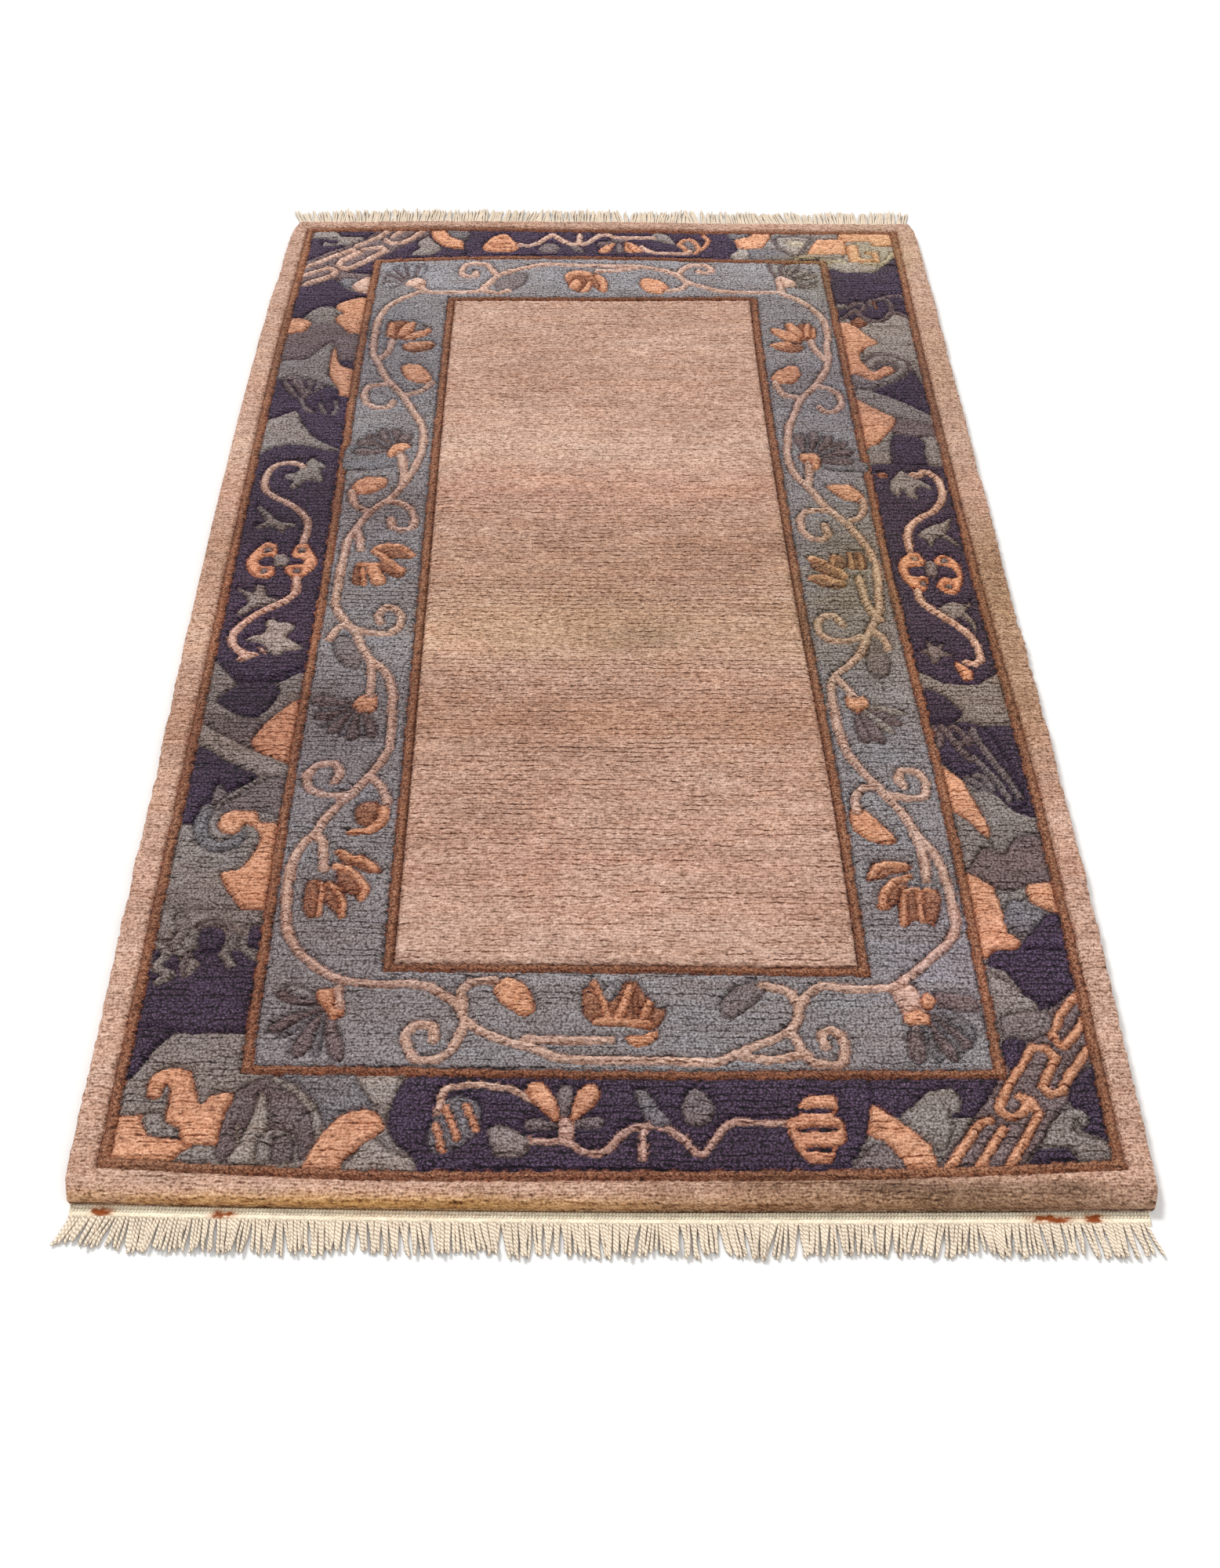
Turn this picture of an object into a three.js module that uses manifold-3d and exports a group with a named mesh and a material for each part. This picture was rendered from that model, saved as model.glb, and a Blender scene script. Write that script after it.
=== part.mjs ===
// A Tibetan khaden rug, lying flat: a carved wool pile with a knotted fringe at each end.
// Millimetres. X runs across the rug, Y along it, Z up. The floor is z = 0.
import * as THREE from "three";
import { mergeVertices } from "three/addons/utils/BufferGeometryUtils.js";
import Module from "manifold-3d";

const wasm = await Module();
wasm.setup();

// Driving sizes
const PILE_TOP = 13; // the foundation and the standing pile together
const CUT_DEEP = 2.6; // how deep the shears cut in beside a line or a petal
const SHOULDER = 1.4; // how far the cut leans over the shape beside it
const CUT_LEAN = 2.2; // and how far it leans the other way
const CLEAR = 0.2; // what is cut away ends this far above the pile
const BROWN_LINE_WIDE = 10;
const VINE_WIDE = 9;
const STEM_WIDE = 7.5;
const STEP_ON_VINE = 32; // between the points of its smooth curve
const GAP = 0.3; // between the pile and a fringe's heading
const HEADING = { wide: 12, thick: 3 };
const STRAND = { pitch: 10.2, wide: 5, thick: 2.6, rooted: 2, tipShare: 0.62 };

// The rug lies a little askew: its right side is pushed back and its left side pulled forward.
const HALF_WIDTH = 450;
const HALF_LENGTH = 900;
const SKEW = { middle: 1.3, end: 6.15 };

// Where the sides and the three upright brown lines run, at seven places along the rug.
const ACROSS = table(
  "along edgeLeft outerLeft middleLeft innerLeft innerRight middleRight outerRight edgeRight",
  [
    [905, -452, -433, -326, -215, 208, 311, 424, 447],
    [870, -459, -433, -326, -215, 208, 311, 424, 456],
    [500, -470, -439, -330, -216, 207, 318, 423, 460],
    [0, -470, -437, -325, -212, 218, 327, 427, 462],
    [-400, -464, -433, -326, -208, 233, 342, 435, 465],
    [-860, -458, -429, -320, -205, 238, 345, 431, 459],
    [-890, -452, -428, -320, -205, 238, 345, 431, 451],
  ],
);

// Where the ends and the three level brown lines run, at five places across the rug.
const ALONG = table(
  "across edgeBack outerBack middleBack innerBack innerFront middleFront outerFront edgeFront",
  [
    [-450, 903, 878, 766, 668, -619, -744, -850, -888],
    [-220, 906, 881, 789, 668, -620, -746, -860, -890],
    [0, 903, 876, 790, 668, -620, -748, -858, -890],
    [220, 897, 870, 779, 668, -621, -745, -854, -887],
    [450, 896, 869, 773, 667, -621, -742, -840, -883],
  ],
);

// The vine runs round the inner border in one loop.
const VINE = path(
  "-262,690 -215,687 -176,688 -165,712 -155,736 -128,754 -92,767 -20,765 45,763 88,744 116,710",
  "150,694 200,688 245,689 280,652 300,610 301,560 301,505 288,468 272,427 252,398 240,360",
  "230,305 226,262 236,215 262,158 292,105 312,45 312,-30 296,-92 268,-155 245,-190 241,-240",
  "252,-312 275,-368 304,-420 325,-475 330,-545 310,-592 265,-636 200,-638 172,-662 155,-697",
  "100,-729 30,-728 -52,-725 -90,-708 -130,-688 -142,-658 -172,-638 -245,-636 -285,-600",
  "-306,-555 -310,-490 -290,-425 -262,-376 -235,-325 -229,-265 -236,-190 -262,-150 -290,-92",
  "-310,-40 -308,60 -292,125 -262,165 -240,220 -232,290 -243,355 -270,415 -297,470 -313,520",
  "-313,610 -292,664",
);

// Stems, second strands and curls that leave the vine.
const STEMS = [
  path("-156,740 -176,774 -204,762 -198,738 -184,744"),
  path("-170,704 -156,687 -140,688"),
  path("-10,750 46,750"),
  path("105,746 122,770 147,766 148,750 134,744"),
  path("86,693 104,696 113,708"),
  path("-291,552 -294,528 -303,504"),
  path("-286,436 -314,431 -312,390 -292,376 -278,392"),
  path("-230,440 -238,418 -260,409"),
  path("-257,262 -250,230 -249,202"),
  path("-311,180 -304,152 -291,139"),
  path("-266,159 -240,152 -231,110 -252,98 -258,120"),
  path("-296,102 -290,60"),
  path("-284,-97 -243,-106 -234,-70 -252,-58"),
  path("-295,-92 -310,-114"),
  path("-261,-162 -256,-214"),
  path("-262,-377 -294,-378 -309,-348 -290,-328 -278,-352"),
  path("-243,-350 -229,-370 -223,-392"),
  path("-288,-432 -280,-484"),
  path("276,550 281,524 291,502"),
  path("280,428 299,426 306,392 290,370 277,382"),
  path("222,442 230,414 248,405"),
  path("252,236 247,202"),
  path("311,160 305,132 292,120"),
  path("270,141 238,142 232,104 252,82 262,104"),
  path("290,0 300,-62"),
  path("281,-110 248,-117 236,-84 252,-68 263,-88"),
  path("250,-186 262,-210"),
  path("284,-373 320,-377 322,-340 302,-336"),
  path("275,-360 254,-370 250,-394"),
  path("309,-440 307,-494"),
  path("-135,-692 -148,-726 -176,-730 -181,-696 -162,-694"),
  path("-135,-666 -134,-642 -110,-635"),
  path("-76,-707 0,-707"),
  path("144,-640 164,-650 170,-664"),
  path("160,-701 178,-730 206,-728 206,-696 192,-697"),
];

// Stems of the blossoms in the four long panels of the outer border.
const PANEL_STEMS = [
  path("-374,243 -400,243 -418,205 -380,150 -360,78"),
  path("-358,-2 -362,-36 -414,-98 -412,-144"),
  path("378,222 402,222 410,178 362,104 356,64"),
  path("352,-20 364,-64 410,-132 404,-166"),
  path("-125,828 -100,836 -78,866 -52,834 -22,840 -6,864 24,853 66,852"),
  path("56,818 72,806 112,804"),
  path("-146,-766 -78,-765"),
  path("-68,-822 -30,-828 -10,-836 16,-806 52,-806 76,-834 100,-800 148,-800"),
];

// Plump carved shapes, each between two ends: the lotuses' petals, leaves, buds and blossoms.
const PETALS = table("fromX fromY toX toY wide", [
  [-290, 560, -291, 604, 15],
  [-280, 558, -262, 602, 17],
  [-274, 552, -240, 584, 19],
  [-273, 536, -234, 536, 22],
  [279, 560, 282, 602, 14],
  [266, 556, 256, 604, 18],
  [260, 548, 228, 586, 20],
  [258, 532, 220, 536, 22],
  [-270, -462, -224, -490, 17],
  [-266, -484, -234, -527, 18],
  [-272, -504, -256, -552, 17],
  [-285, -504, -285, -554, 14],
  [292, -478, 252, -490, 22],
  [286, -494, 266, -530, 18],
  [302, -508, 302, -560, 24],
  [-268, 56, -235, 56, 20],
  [-266, 44, -234, 16, 18],
  [-268, 28, -262, -15, 18],
  [-285, 30, -285, -15, 12],
  [270, 12, 236, 42, 18],
  [276, 18, 264, 52, 15],
  [290, 20, 290, 56, 14],
  [284, -8, 232, -6, 20],
  [-12, -688, -14, -633, 19],
  [16, -688, 18, -633, 20],
  [-48, 746, -40, 690, 21],
  [-16, 746, -6, 692, 20],
  [-266, 486, -232, 444, 26],
  [-311, 182, -270, 206, 27],
  [-302, -114, -272, -170, 20],
  [-255, -432, -224, -394, 24],
  [-156, 698, -114, 738, 22],
  [52, 724, 84, 688, 27],
  [-104, -636, -74, -678, 22],
  [106, -676, 142, -640, 20],
  [225, 443, 254, 484, 27],
  [274, 196, 311, 162, 25],
  [294, -122, 296, -182, 22],
  [248, -394, 284, -442, 25],
  [-160, 812, -138, 864, 30],
  [-90, 808, -76, 838, 24],
  [-8, 806, 12, 836, 17],
  [54, 804, 28, 840, 18],
  [122, 802, 114, 848, 28],
  [72, 850, 96, 852, 26],
  [-133, -836, -140, -770, 36],
  [-44, -802, -62, -758, 18],
  [-30, -802, -17, -762, 17],
  [24, -766, 50, -804, 14],
  [76, -804, 74, -763, 24],
  [-102, -810, -72, -834, 24],
  [176, -842, 184, -770, 40],
  [-352, 194, -364, 252, 28],
  [-366, 222, -397, 224, 20],
  [-416, 148, -388, 106, 20],
  [-372, -150, -368, -88, 28],
  [-378, -44, -420, -20, 18],
  [356, 176, 364, 230, 26],
  [362, 204, 397, 190, 20],
  [412, 124, 366, 90, 19],
  [382, -86, 400, -44, 24],
]);

// Calyxes from which the ribbed fans open, with the sweep of the fan in degrees.
const FANS = table("x y reach first last", [
  [-266, 716, 52, 92, 186],
  [-260, 272, 52, 88, 182],
  [-262, -230, 56, 196, 290],
  [-254, -666, 62, 196, 282],
  [254, 716, 50, -4, 100],
  [253, 252, 54, 8, 98],
  [264, -226, 62, 268, 322],
  [280, -664, 58, 256, 356],
]);

// Cuts along the clouds, waves and frets of the outer border.
const CUTS = [
  path("-427,850 -391,848 -404,828 -380,827 -352,853 -390,866"),
  path("-427,783 -375,828 -336,874"),
  path("-427,700 -378,736 -332,783 -256,872"),
  path("-425,757 -368,812 -322,870"),
  path("-318,872 -350,824 -320,818 -366,765 -384,780"),
  path("-268,872 -282,808 -250,800 -242,816 -258,856"),
  path("-244,842 -220,820 -205,832 -232,872"),
  path("-332,676 -374,652 -360,626 -370,602 -335,572"),
  path("-378,648 -418,616 -402,596 -427,572"),
  path("-430,497 -396,505 -367,545 -350,488 -335,466"),
  path("-430,345 -398,366 -370,308 -340,278"),
  path("-430,-168 -400,-192 -370,-192 -338,-172"),
  path("-400,-194 -419,-225 -380,-255 -354,-207 -370,-194"),
  path("-336,-225 -373,-292 -337,-340"),
  path("-430,-264 -375,-305 -337,-342"),
  path("-430,-300 -352,-352 -410,-412"),
  path("-366,-438 -390,-420 -380,-404 -350,-410 -333,-420"),
  path("-362,-424 -350,-470 -378,-494 -332,-558"),
  path("-428,-580 -396,-600 -372,-574 -344,-600"),
  path("-424,-757 -390,-706 -348,-705 -325,-748"),
  path("-396,-780 -402,-752 -370,-750 -358,-784 -316,-784 -334,-826"),
  path("-424,-798 -390,-820 -355,-822 -370,-848"),
  path("-296,-756 -256,-790 -264,-846"),
  path("-258,-848 -232,-793 -196,-806 -230,-850"),
  path("224,-782 272,-824 250,-846 224,-815 224,-782"),
  path("250,-794 280,-762 304,-772 292,-796 282,-826"),
  path("278,-845 348,-746 352,-700 430,-640"),
  path("348,-840 402,-760 430,-724"),
  path("308,-842 340,-800 366,-728 392,-714 384,-752 425,-715"),
  path("352,-610 385,-585 428,-542"),
  path("350,-486 377,-540 358,-608"),
  path("344,-322 378,-420 352,-394"),
  path("378,-440 390,-461 428,-418"),
  path("338,-202 374,-260 346,-300"),
  path("420,-175 386,-200 364,-192"),
  path("335,247 356,258 362,302 400,304 402,258 420,236"),
  path("327,278 371,350 327,405"),
  path("327,427 352,415 420,359"),
  path("350,423 404,484"),
  path("326,602 368,552 342,520 352,480 382,474 326,458"),
  path("324,612 344,652 372,612 418,634"),
  path("292,806 308,845 345,864 411,864 412,838 346,836"),
  path("347,832 347,780 394,780 396,806 376,800"),
  path("186,846 206,818 228,830 240,862"),
  path("250,850 252,818 280,798 304,840"),
];

// A table's rows as objects with named columns.
function table(columns, rows) {
  const names = columns.split(" ");
  return rows.map((row) => Object.fromEntries(row.map((value, i) => [names[i], value])));
}

// Points written as "x,y x,y".
function path(...lines) {
  return lines
    .join(" ")
    .split(" ")
    .map((pair) => new THREE.Vector2(...pair.split(",").map(Number)));
}

// A column's value between a table's stations, on a smooth curve through them.
function between(rows, station, column, at) {
  const ordered = [...rows].sort((a, b) => a[station] - b[station]);
  const last = ordered.length - 1;
  let i = ordered.findIndex((row) => row[station] > at) - 1;
  if (i < 0) i = at < ordered[0][station] ? 0 : last - 1;
  const slope = (k) => {
    const low = ordered[Math.max(k - 1, 0)];
    const high = ordered[Math.min(k + 1, last)];
    return (high[column] - low[column]) / (high[station] - low[station]);
  };
  const span = ordered[i + 1][station] - ordered[i][station];
  const t = THREE.MathUtils.clamp((at - ordered[i][station]) / span, 0, 1);
  const start = ordered[i][column];
  const end = ordered[i + 1][column];
  const ease = t * t * (3 - 2 * t);
  const leave = t * (1 - t) * (1 - t) * span * slope(i);
  const arrive = t * t * (t - 1) * span * slope(i + 1);
  return start + (end - start) * ease + leave + arrive;
}

// Where an upright line and a level line cross.
function crossing(upright, level) {
  let x = 0;
  let y = 0;
  for (let turn = 0; turn < 4; turn++) {
    y = between(ALONG, "across", level, x);
    x = between(ACROSS, "along", upright, y);
  }
  return new THREE.Vector2(x, y);
}

// A closed frame of four lines, counter-clockwise, with points between its corners.
function frame(name, alongSteps, acrossSteps) {
  const corners = [
    crossing(name + "Left", name + "Front"),
    crossing(name + "Right", name + "Front"),
    crossing(name + "Right", name + "Back"),
    crossing(name + "Left", name + "Back"),
  ];
  const sides = ["Front", "Right", "Back", "Left"];
  return sides.flatMap((side, i) => {
    const from = corners[i];
    const to = corners[(i + 1) % 4];
    const level = i % 2 === 0;
    const steps = level ? acrossSteps : alongSteps;
    return Array.from({ length: steps }, (_, k) => {
      if (k === 0) return from.clone();
      const p = from.clone().lerp(to, k / steps);
      if (level) p.y = between(ALONG, "across", name + side, p.x);
      else p.x = between(ACROSS, "along", name + side, p.y);
      return p;
    });
  });
}

// Each point moved sideways along its corner's bisector, to the right of the way the line runs.
function beside(points, distance, closed) {
  const count = points.length;
  return points.map((p, i) => {
    const before = closed ? points[(i + count - 1) % count] : points[Math.max(i - 1, 0)];
    const after = closed ? points[(i + 1) % count] : points[Math.min(i + 1, count - 1)];
    const into = p.clone().sub(before);
    const out = after.clone().sub(p);
    if (into.lengthSq() === 0) into.copy(out);
    if (out.lengthSq() === 0) out.copy(into);
    into.normalize();
    out.normalize();
    const middle = into.clone().add(out).normalize();
    const reach = Math.min(1 / Math.max(middle.dot(into), 0.3), 1.5);
    return new THREE.Vector2(p.x + middle.y * distance * reach, p.y - middle.x * distance * reach);
  });
}

// The floor place of a point of the design, with the rug's skew.
function lying(p) {
  const share = p.x / HALF_WIDTH;
  return new THREE.Vector2(p.x, p.y + share * (SKEW.middle + (SKEW.end * p.y) / HALF_LENGTH));
}

function solid(positions, triangles) {
  const geometry = new THREE.BufferGeometry();
  geometry.setAttribute("position", new THREE.Float32BufferAttribute(positions, 3));
  geometry.setIndex(triangles);
  const merged = mergeVertices(geometry, 1e-4);
  return new wasm.Manifold(
    new wasm.Mesh({
      numProp: 3,
      vertProperties: merged.getAttribute("position").array,
      triVerts: new Uint32Array(merged.index.array),
    }),
  );
}

// A closed solid through level outlines of as many points each, lowest first.
function stacked(outlines, heights) {
  const count = outlines[0].length;
  const positions = outlines.flatMap((outline, k) => outline.flatMap((p) => [p.x, p.y, heights[k]]));
  const triangles = [];
  for (let k = 0; k + 1 < outlines.length; k++)
    for (let i = 0; i < count; i++) {
      const a = k * count + i;
      const b = k * count + ((i + 1) % count);
      triangles.push(a, b, b + count, a, b + count, a + count);
    }
  const top = (outlines.length - 1) * count;
  for (const [a, b, c] of THREE.ShapeUtils.triangulateShape(outlines[0], [])) triangles.push(c, b, a);
  for (const [a, b, c] of THREE.ShapeUtils.triangulateShape(outlines.at(-1), []))
    triangles.push(top + a, top + b, top + c);
  return solid(positions, triangles);
}

function counterClockwise(outline) {
  return THREE.ShapeUtils.area(outline) > 0 ? outline : outline.slice().reverse();
}

// A closed line through the points, as one smooth curve.
function smooth(points) {
  const curve = new THREE.CatmullRomCurve3(
    points.map((p) => new THREE.Vector3(p.x, p.y, 0)),
    true,
    "centripetal",
  );
  const steps = Math.round(curve.getLength() / STEP_ON_VINE);
  return curve
    .getSpacedPoints(steps)
    .slice(0, -1)
    .map((p) => new THREE.Vector2(p.x, p.y));
}

// A plump leaf or petal from its base to its tip.
function plump({ fromX, fromY, toX, toY, wide }) {
  const from = new THREE.Vector2(fromX, fromY);
  const to = new THREE.Vector2(toX, toY);
  const along = to.clone().sub(from);
  const side = new THREE.Vector2(-along.y, along.x).normalize();
  const shoulder = 0.6; // how far along it is widest, as a share
  const widest = from.clone().addScaledVector(along, shoulder);
  return [
    from,
    widest.clone().addScaledVector(side, -wide / 2),
    to,
    widest.clone().addScaledVector(side, wide / 2),
  ];
}

// A solid that follows a line, of a section given as [across, up] points, clockwise.
function swept(points, section, closed) {
  const rails = section.map(([across]) => beside(points, across, closed));
  const sides = section.length;
  const positions = points.flatMap((_, i) =>
    section.flatMap(([, up], k) => [rails[k][i].x, rails[k][i].y, up]),
  );
  const triangles = [];
  const lengths = closed ? points.length : points.length - 1;
  for (let i = 0; i < lengths; i++)
    for (let k = 0; k < sides; k++) {
      const here = i * sides;
      const next = ((i + 1) % points.length) * sides;
      const other = (k + 1) % sides;
      triangles.push(here + k, here + other, next + other, here + k, next + other, next + k);
    }
  const last = lengths * sides;
  if (!closed)
    for (let k = 1; k + 1 < sides; k++)
      triangles.push(0, k + 1, k, last, last + k, last + k + 1);
  return solid(positions, triangles);
}

// What the shears take out along a line or, at a distance from it, beside the ridge there.
function shorn(line, distance, closed) {
  const away = distance < 0 ? -1 : 1;
  const shoulders = [distance - away * SHOULDER, distance + away * CUT_LEAN];
  const [left, right] = away < 0 ? shoulders.reverse() : shoulders;
  const section = [
    [distance, PILE_TOP - CUT_DEEP],
    [left, PILE_TOP + CLEAR],
    [right, PILE_TOP + CLEAR],
  ];
  return swept(line, section, closed);
}

// The cut round a leaf or petal.
const carvedRound = (outline) => shorn(counterClockwise(outline.map(lying)), 0, true);

// The two cuts that leave a ridge along a line.
function carvedAlong(points, wide, closed) {
  const line = points.map(lying);
  return [shorn(line, wide / 2, closed), shorn(line, -wide / 2, closed)];
}

// The petals that open like a fan from one calyx.
function fanPetals({ x, y, reach, first, last }) {
  const petals = 3;
  const calyx = 0.26 * reach; // where the petals start
  const spread = THREE.MathUtils.degToRad((last - first) / petals);
  return Array.from({ length: petals }, (_, i) => {
    const angle = THREE.MathUtils.degToRad(first) + (i + 0.5) * spread;
    const along = Math.cos(angle);
    const up = Math.sin(angle);
    return plump({
      fromX: x + calyx * along,
      fromY: y + calyx * up,
      toX: x + reach * along,
      toY: y + reach * up,
      wide: spread * reach * 0.6,
    });
  });
}

// The uncut pile: a slab with softly sheared edges.
function slab(outline) {
  const rounding = table("height inset", [
    [0, 1.5],
    [3, 0],
    [9, 0.2],
    [12, 2],
    [PILE_TOP, 5],
  ]);
  return stacked(
    rounding.map((row) => beside(outline, -row.inset, true)),
    rounding.map((row) => row.height),
  );
}

// The knotted pile with everything that the shears carved into it.
function pile(outline) {
  const cuts = [
    ...carvedAlong(frame("outer", 9, 5), BROWN_LINE_WIDE, true),
    ...carvedAlong(frame("middle", 8, 4), BROWN_LINE_WIDE, true),
    ...carvedAlong(frame("inner", 6, 1), BROWN_LINE_WIDE, true),
    ...carvedAlong(smooth(VINE), VINE_WIDE, true),
    ...[...STEMS, ...PANEL_STEMS].flatMap((stem) => carvedAlong(stem, STEM_WIDE, false)),
    ...[...PETALS.map(plump), ...FANS.flatMap(fanPetals)].map(carvedRound),
    ...CUTS.map((line) => shorn(line.map(lying), 0, false)),
  ];
  return slab(outline).subtract(joined(cuts));
}

function joined(pieces) {
  return pieces.reduce((all, piece) => all.add(piece));
}

// Numbers between -1 and 1 that look random and are the same each time.
function scatter(seed) {
  const wave = Math.sin(seed * 12.9898 + 4.1414) * 43758.5453;
  return 2 * (wave - Math.floor(wave)) - 1;
}

// A flat-lying strand from its root to its tip, bent a little on the way.
function strand(root, away, long, lean, seed) {
  const side = new THREE.Vector2(-away.y, away.x);
  const stations = table("share drift wide thick", [
    [0, 0, STRAND.wide, STRAND.thick],
    [0.5, 0.4, STRAND.wide * 0.9, STRAND.thick],
    [1, 1, STRAND.wide * STRAND.tipShare, STRAND.thick * 0.7],
  ]);
  const rings = stations.map((row) => {
    const middle = root
      .clone()
      .addScaledVector(away, row.share * long)
      .addScaledVector(side, row.drift * lean + row.share * (1 - row.share) * 4 * scatter(seed));
    const left = middle.clone().addScaledVector(side, row.wide / 2);
    const right = middle.clone().addScaledVector(side, -row.wide / 2);
    return [
      [left.x, left.y, 0],
      [right.x, right.y, 0],
      [middle.x, middle.y, row.thick],
    ];
  });
  const sides = 3;
  const end = (rings.length - 1) * sides;
  const triangles = [0, 1, 2, end, end + 2, end + 1];
  for (let i = 0; i < end; i += sides)
    for (let k = 0; k < sides; k++) {
      const next = (k + 1) % sides;
      triangles.push(i + k, i + next + sides, i + next, i + k, i + k + sides, i + next + sides);
    }
  return solid(rings.flat(2), triangles);
}

// A woven heading along one end of the pile, with the warp's strands lying out from it.
function fringe(edge, { long, uneven, splay, seed }) {
  const outer = beside(edge, GAP + HEADING.wide, false);
  const section = [
    [GAP, 0],
    [GAP, HEADING.thick],
    [GAP + HEADING.wide, HEADING.thick],
    [GAP + HEADING.wide, 0],
  ];
  const pieces = [swept(edge, section, false)];
  const rim = new THREE.CatmullRomCurve3(outer.map((p) => new THREE.Vector3(p.x, p.y, 0)));
  const count = Math.floor((rim.getLength() - STRAND.wide) / STRAND.pitch);
  const margin = (STRAND.wide / 2 + 0.5) / rim.getLength();
  for (let i = 0; i <= count; i++) {
    const share = margin + ((1 - 2 * margin) * i) / count;
    const on = rim.getPointAt(share);
    const tangent = rim.getTangentAt(share);
    const away = new THREE.Vector2(tangent.y, -tangent.x);
    const root = new THREE.Vector2(on.x, on.y).addScaledVector(away, -STRAND.rooted);
    const spread = -splay * (2 * share - 1) ** 5;
    const lean = spread + 1.8 * scatter(seed + i);
    pieces.push(strand(root, away, long + uneven * scatter(2 * seed + 3 * i), lean, seed + 7 * i));
  }
  return joined(pieces);
}

// A named mesh in wool or cotton of one colour.
function meshOf(name, made, colour, roughness) {
  const { numProp, vertProperties, triVerts } = made.getMesh();
  const geometry = new THREE.BufferGeometry();
  const corners = new THREE.InterleavedBuffer(vertProperties, numProp);
  const positions = new Float32Array(corners.count * 3);
  for (let i = 0; i < corners.count; i++)
    positions.set(vertProperties.subarray(i * numProp, i * numProp + 3), i * 3);
  geometry.setAttribute("position", new THREE.BufferAttribute(positions, 3));
  geometry.setIndex(new THREE.BufferAttribute(triVerts, 1));
  geometry.computeVertexNormals();
  const mesh = new THREE.Mesh(
    geometry,
    new THREE.MeshStandardMaterial({ color: colour, roughness, metalness: 0 }),
  );
  mesh.name = name;
  return mesh;
}

const alongSteps = 14;
const acrossSteps = 8;
const edge = frame("edge", alongSteps, acrossSteps).map(lying);
const frontEdge = edge.slice(0, acrossSteps + 1);
const backStart = acrossSteps + alongSteps;
const backEdge = edge.slice(backStart, backStart + acrossSteps + 1);

const rug = new THREE.Group();
rug.add(
  meshOf("pile", pile(edge), 0xb08a78, 0.95),
  meshOf("fringe_front", fringe(frontEdge, { long: 32, uneven: 4, splay: 9, seed: 11 }), 0xe6d9c4, 0.9),
  meshOf("fringe_back", fringe(backEdge, { long: 40, uneven: 4, splay: 4, seed: 47 }), 0xe6d9c4, 0.9),
);

// The part's own frame has its origin on the floor, under the middle of the rug.
const size = new THREE.Box3().setFromObject(rug);
const middle = size.getCenter(new THREE.Vector3());
rug.position.set(-middle.x, -middle.y, -size.min.z);

const part = new THREE.Group();
part.add(rug);
export default part;
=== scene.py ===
"""A Tibetan bed rug with a carved wool pile and fringed ends, lying flat on a pale floor."""
import math

import bpy
import numpy as np
from mathutils import Matrix, Vector


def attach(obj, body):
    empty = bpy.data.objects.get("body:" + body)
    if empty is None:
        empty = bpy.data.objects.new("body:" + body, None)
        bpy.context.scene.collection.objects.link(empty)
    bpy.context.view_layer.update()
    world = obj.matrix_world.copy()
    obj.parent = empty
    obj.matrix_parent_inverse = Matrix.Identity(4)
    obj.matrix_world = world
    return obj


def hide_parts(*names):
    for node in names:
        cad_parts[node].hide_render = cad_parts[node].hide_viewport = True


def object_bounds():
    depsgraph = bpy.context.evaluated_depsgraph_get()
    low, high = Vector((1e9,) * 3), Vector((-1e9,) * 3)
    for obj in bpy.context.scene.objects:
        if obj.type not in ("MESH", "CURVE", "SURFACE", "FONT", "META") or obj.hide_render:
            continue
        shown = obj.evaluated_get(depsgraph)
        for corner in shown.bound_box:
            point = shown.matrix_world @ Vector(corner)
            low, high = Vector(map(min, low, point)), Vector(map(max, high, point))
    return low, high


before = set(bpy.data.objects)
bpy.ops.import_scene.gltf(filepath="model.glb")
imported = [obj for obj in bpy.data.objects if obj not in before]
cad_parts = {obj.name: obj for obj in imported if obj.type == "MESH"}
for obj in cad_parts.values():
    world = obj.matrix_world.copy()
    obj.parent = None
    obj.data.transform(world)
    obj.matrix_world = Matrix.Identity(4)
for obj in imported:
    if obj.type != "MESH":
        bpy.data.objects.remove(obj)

cad_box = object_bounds()

MM = 0.001

# Driving sizes, in millimetres
CLOTH_THICK = 3.0  # the woven foundation under the knots
PILE_TOP = round(cad_box[1][2] / MM, 3)  # as high as the solids
KNOT = {"across": 2.2, "along": 2.08, "loose": 0.36}  # the grid that the pile is made on
CLOTH_KNOT = 10.0  # the grid of the foundation
# TUFT dark: how much lighter a taller knot and darker a lower one is painted, as painted shade.
TUFT = {"uneven": 0.55, "dark": 0.12, "foot": 0.4}  # how the knots differ, and stand at the rim
LINE_WIDE = 10.0  # a brown border line
# LINE dark: how dark the painted shade on a cord's flanks is.
LINE = {"below": 0.5, "dark": 0.95}  # how far its cord lies below the pile
# STROKE dark: how much of a cut's painted shade a raised stroke keeps.
STROKE = {"rise": 0.9, "dark": 0.65}  # how far a stem stands above what is round it
VINE_WIDE = 10.0
# CUT dark: how wide the painted shade in a cut is.
CUT = {"deep": 3.6, "wide": 1.6, "shoulder": 1.3, "slope": 4.2, "dark": 1.4}  # where shears went in
ROW_PITCH = 7.4  # between the furrows that the weft leaves across the pile
ROW_APART = 53.0  # rows are this far apart in the random patches that break their furrows
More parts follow.
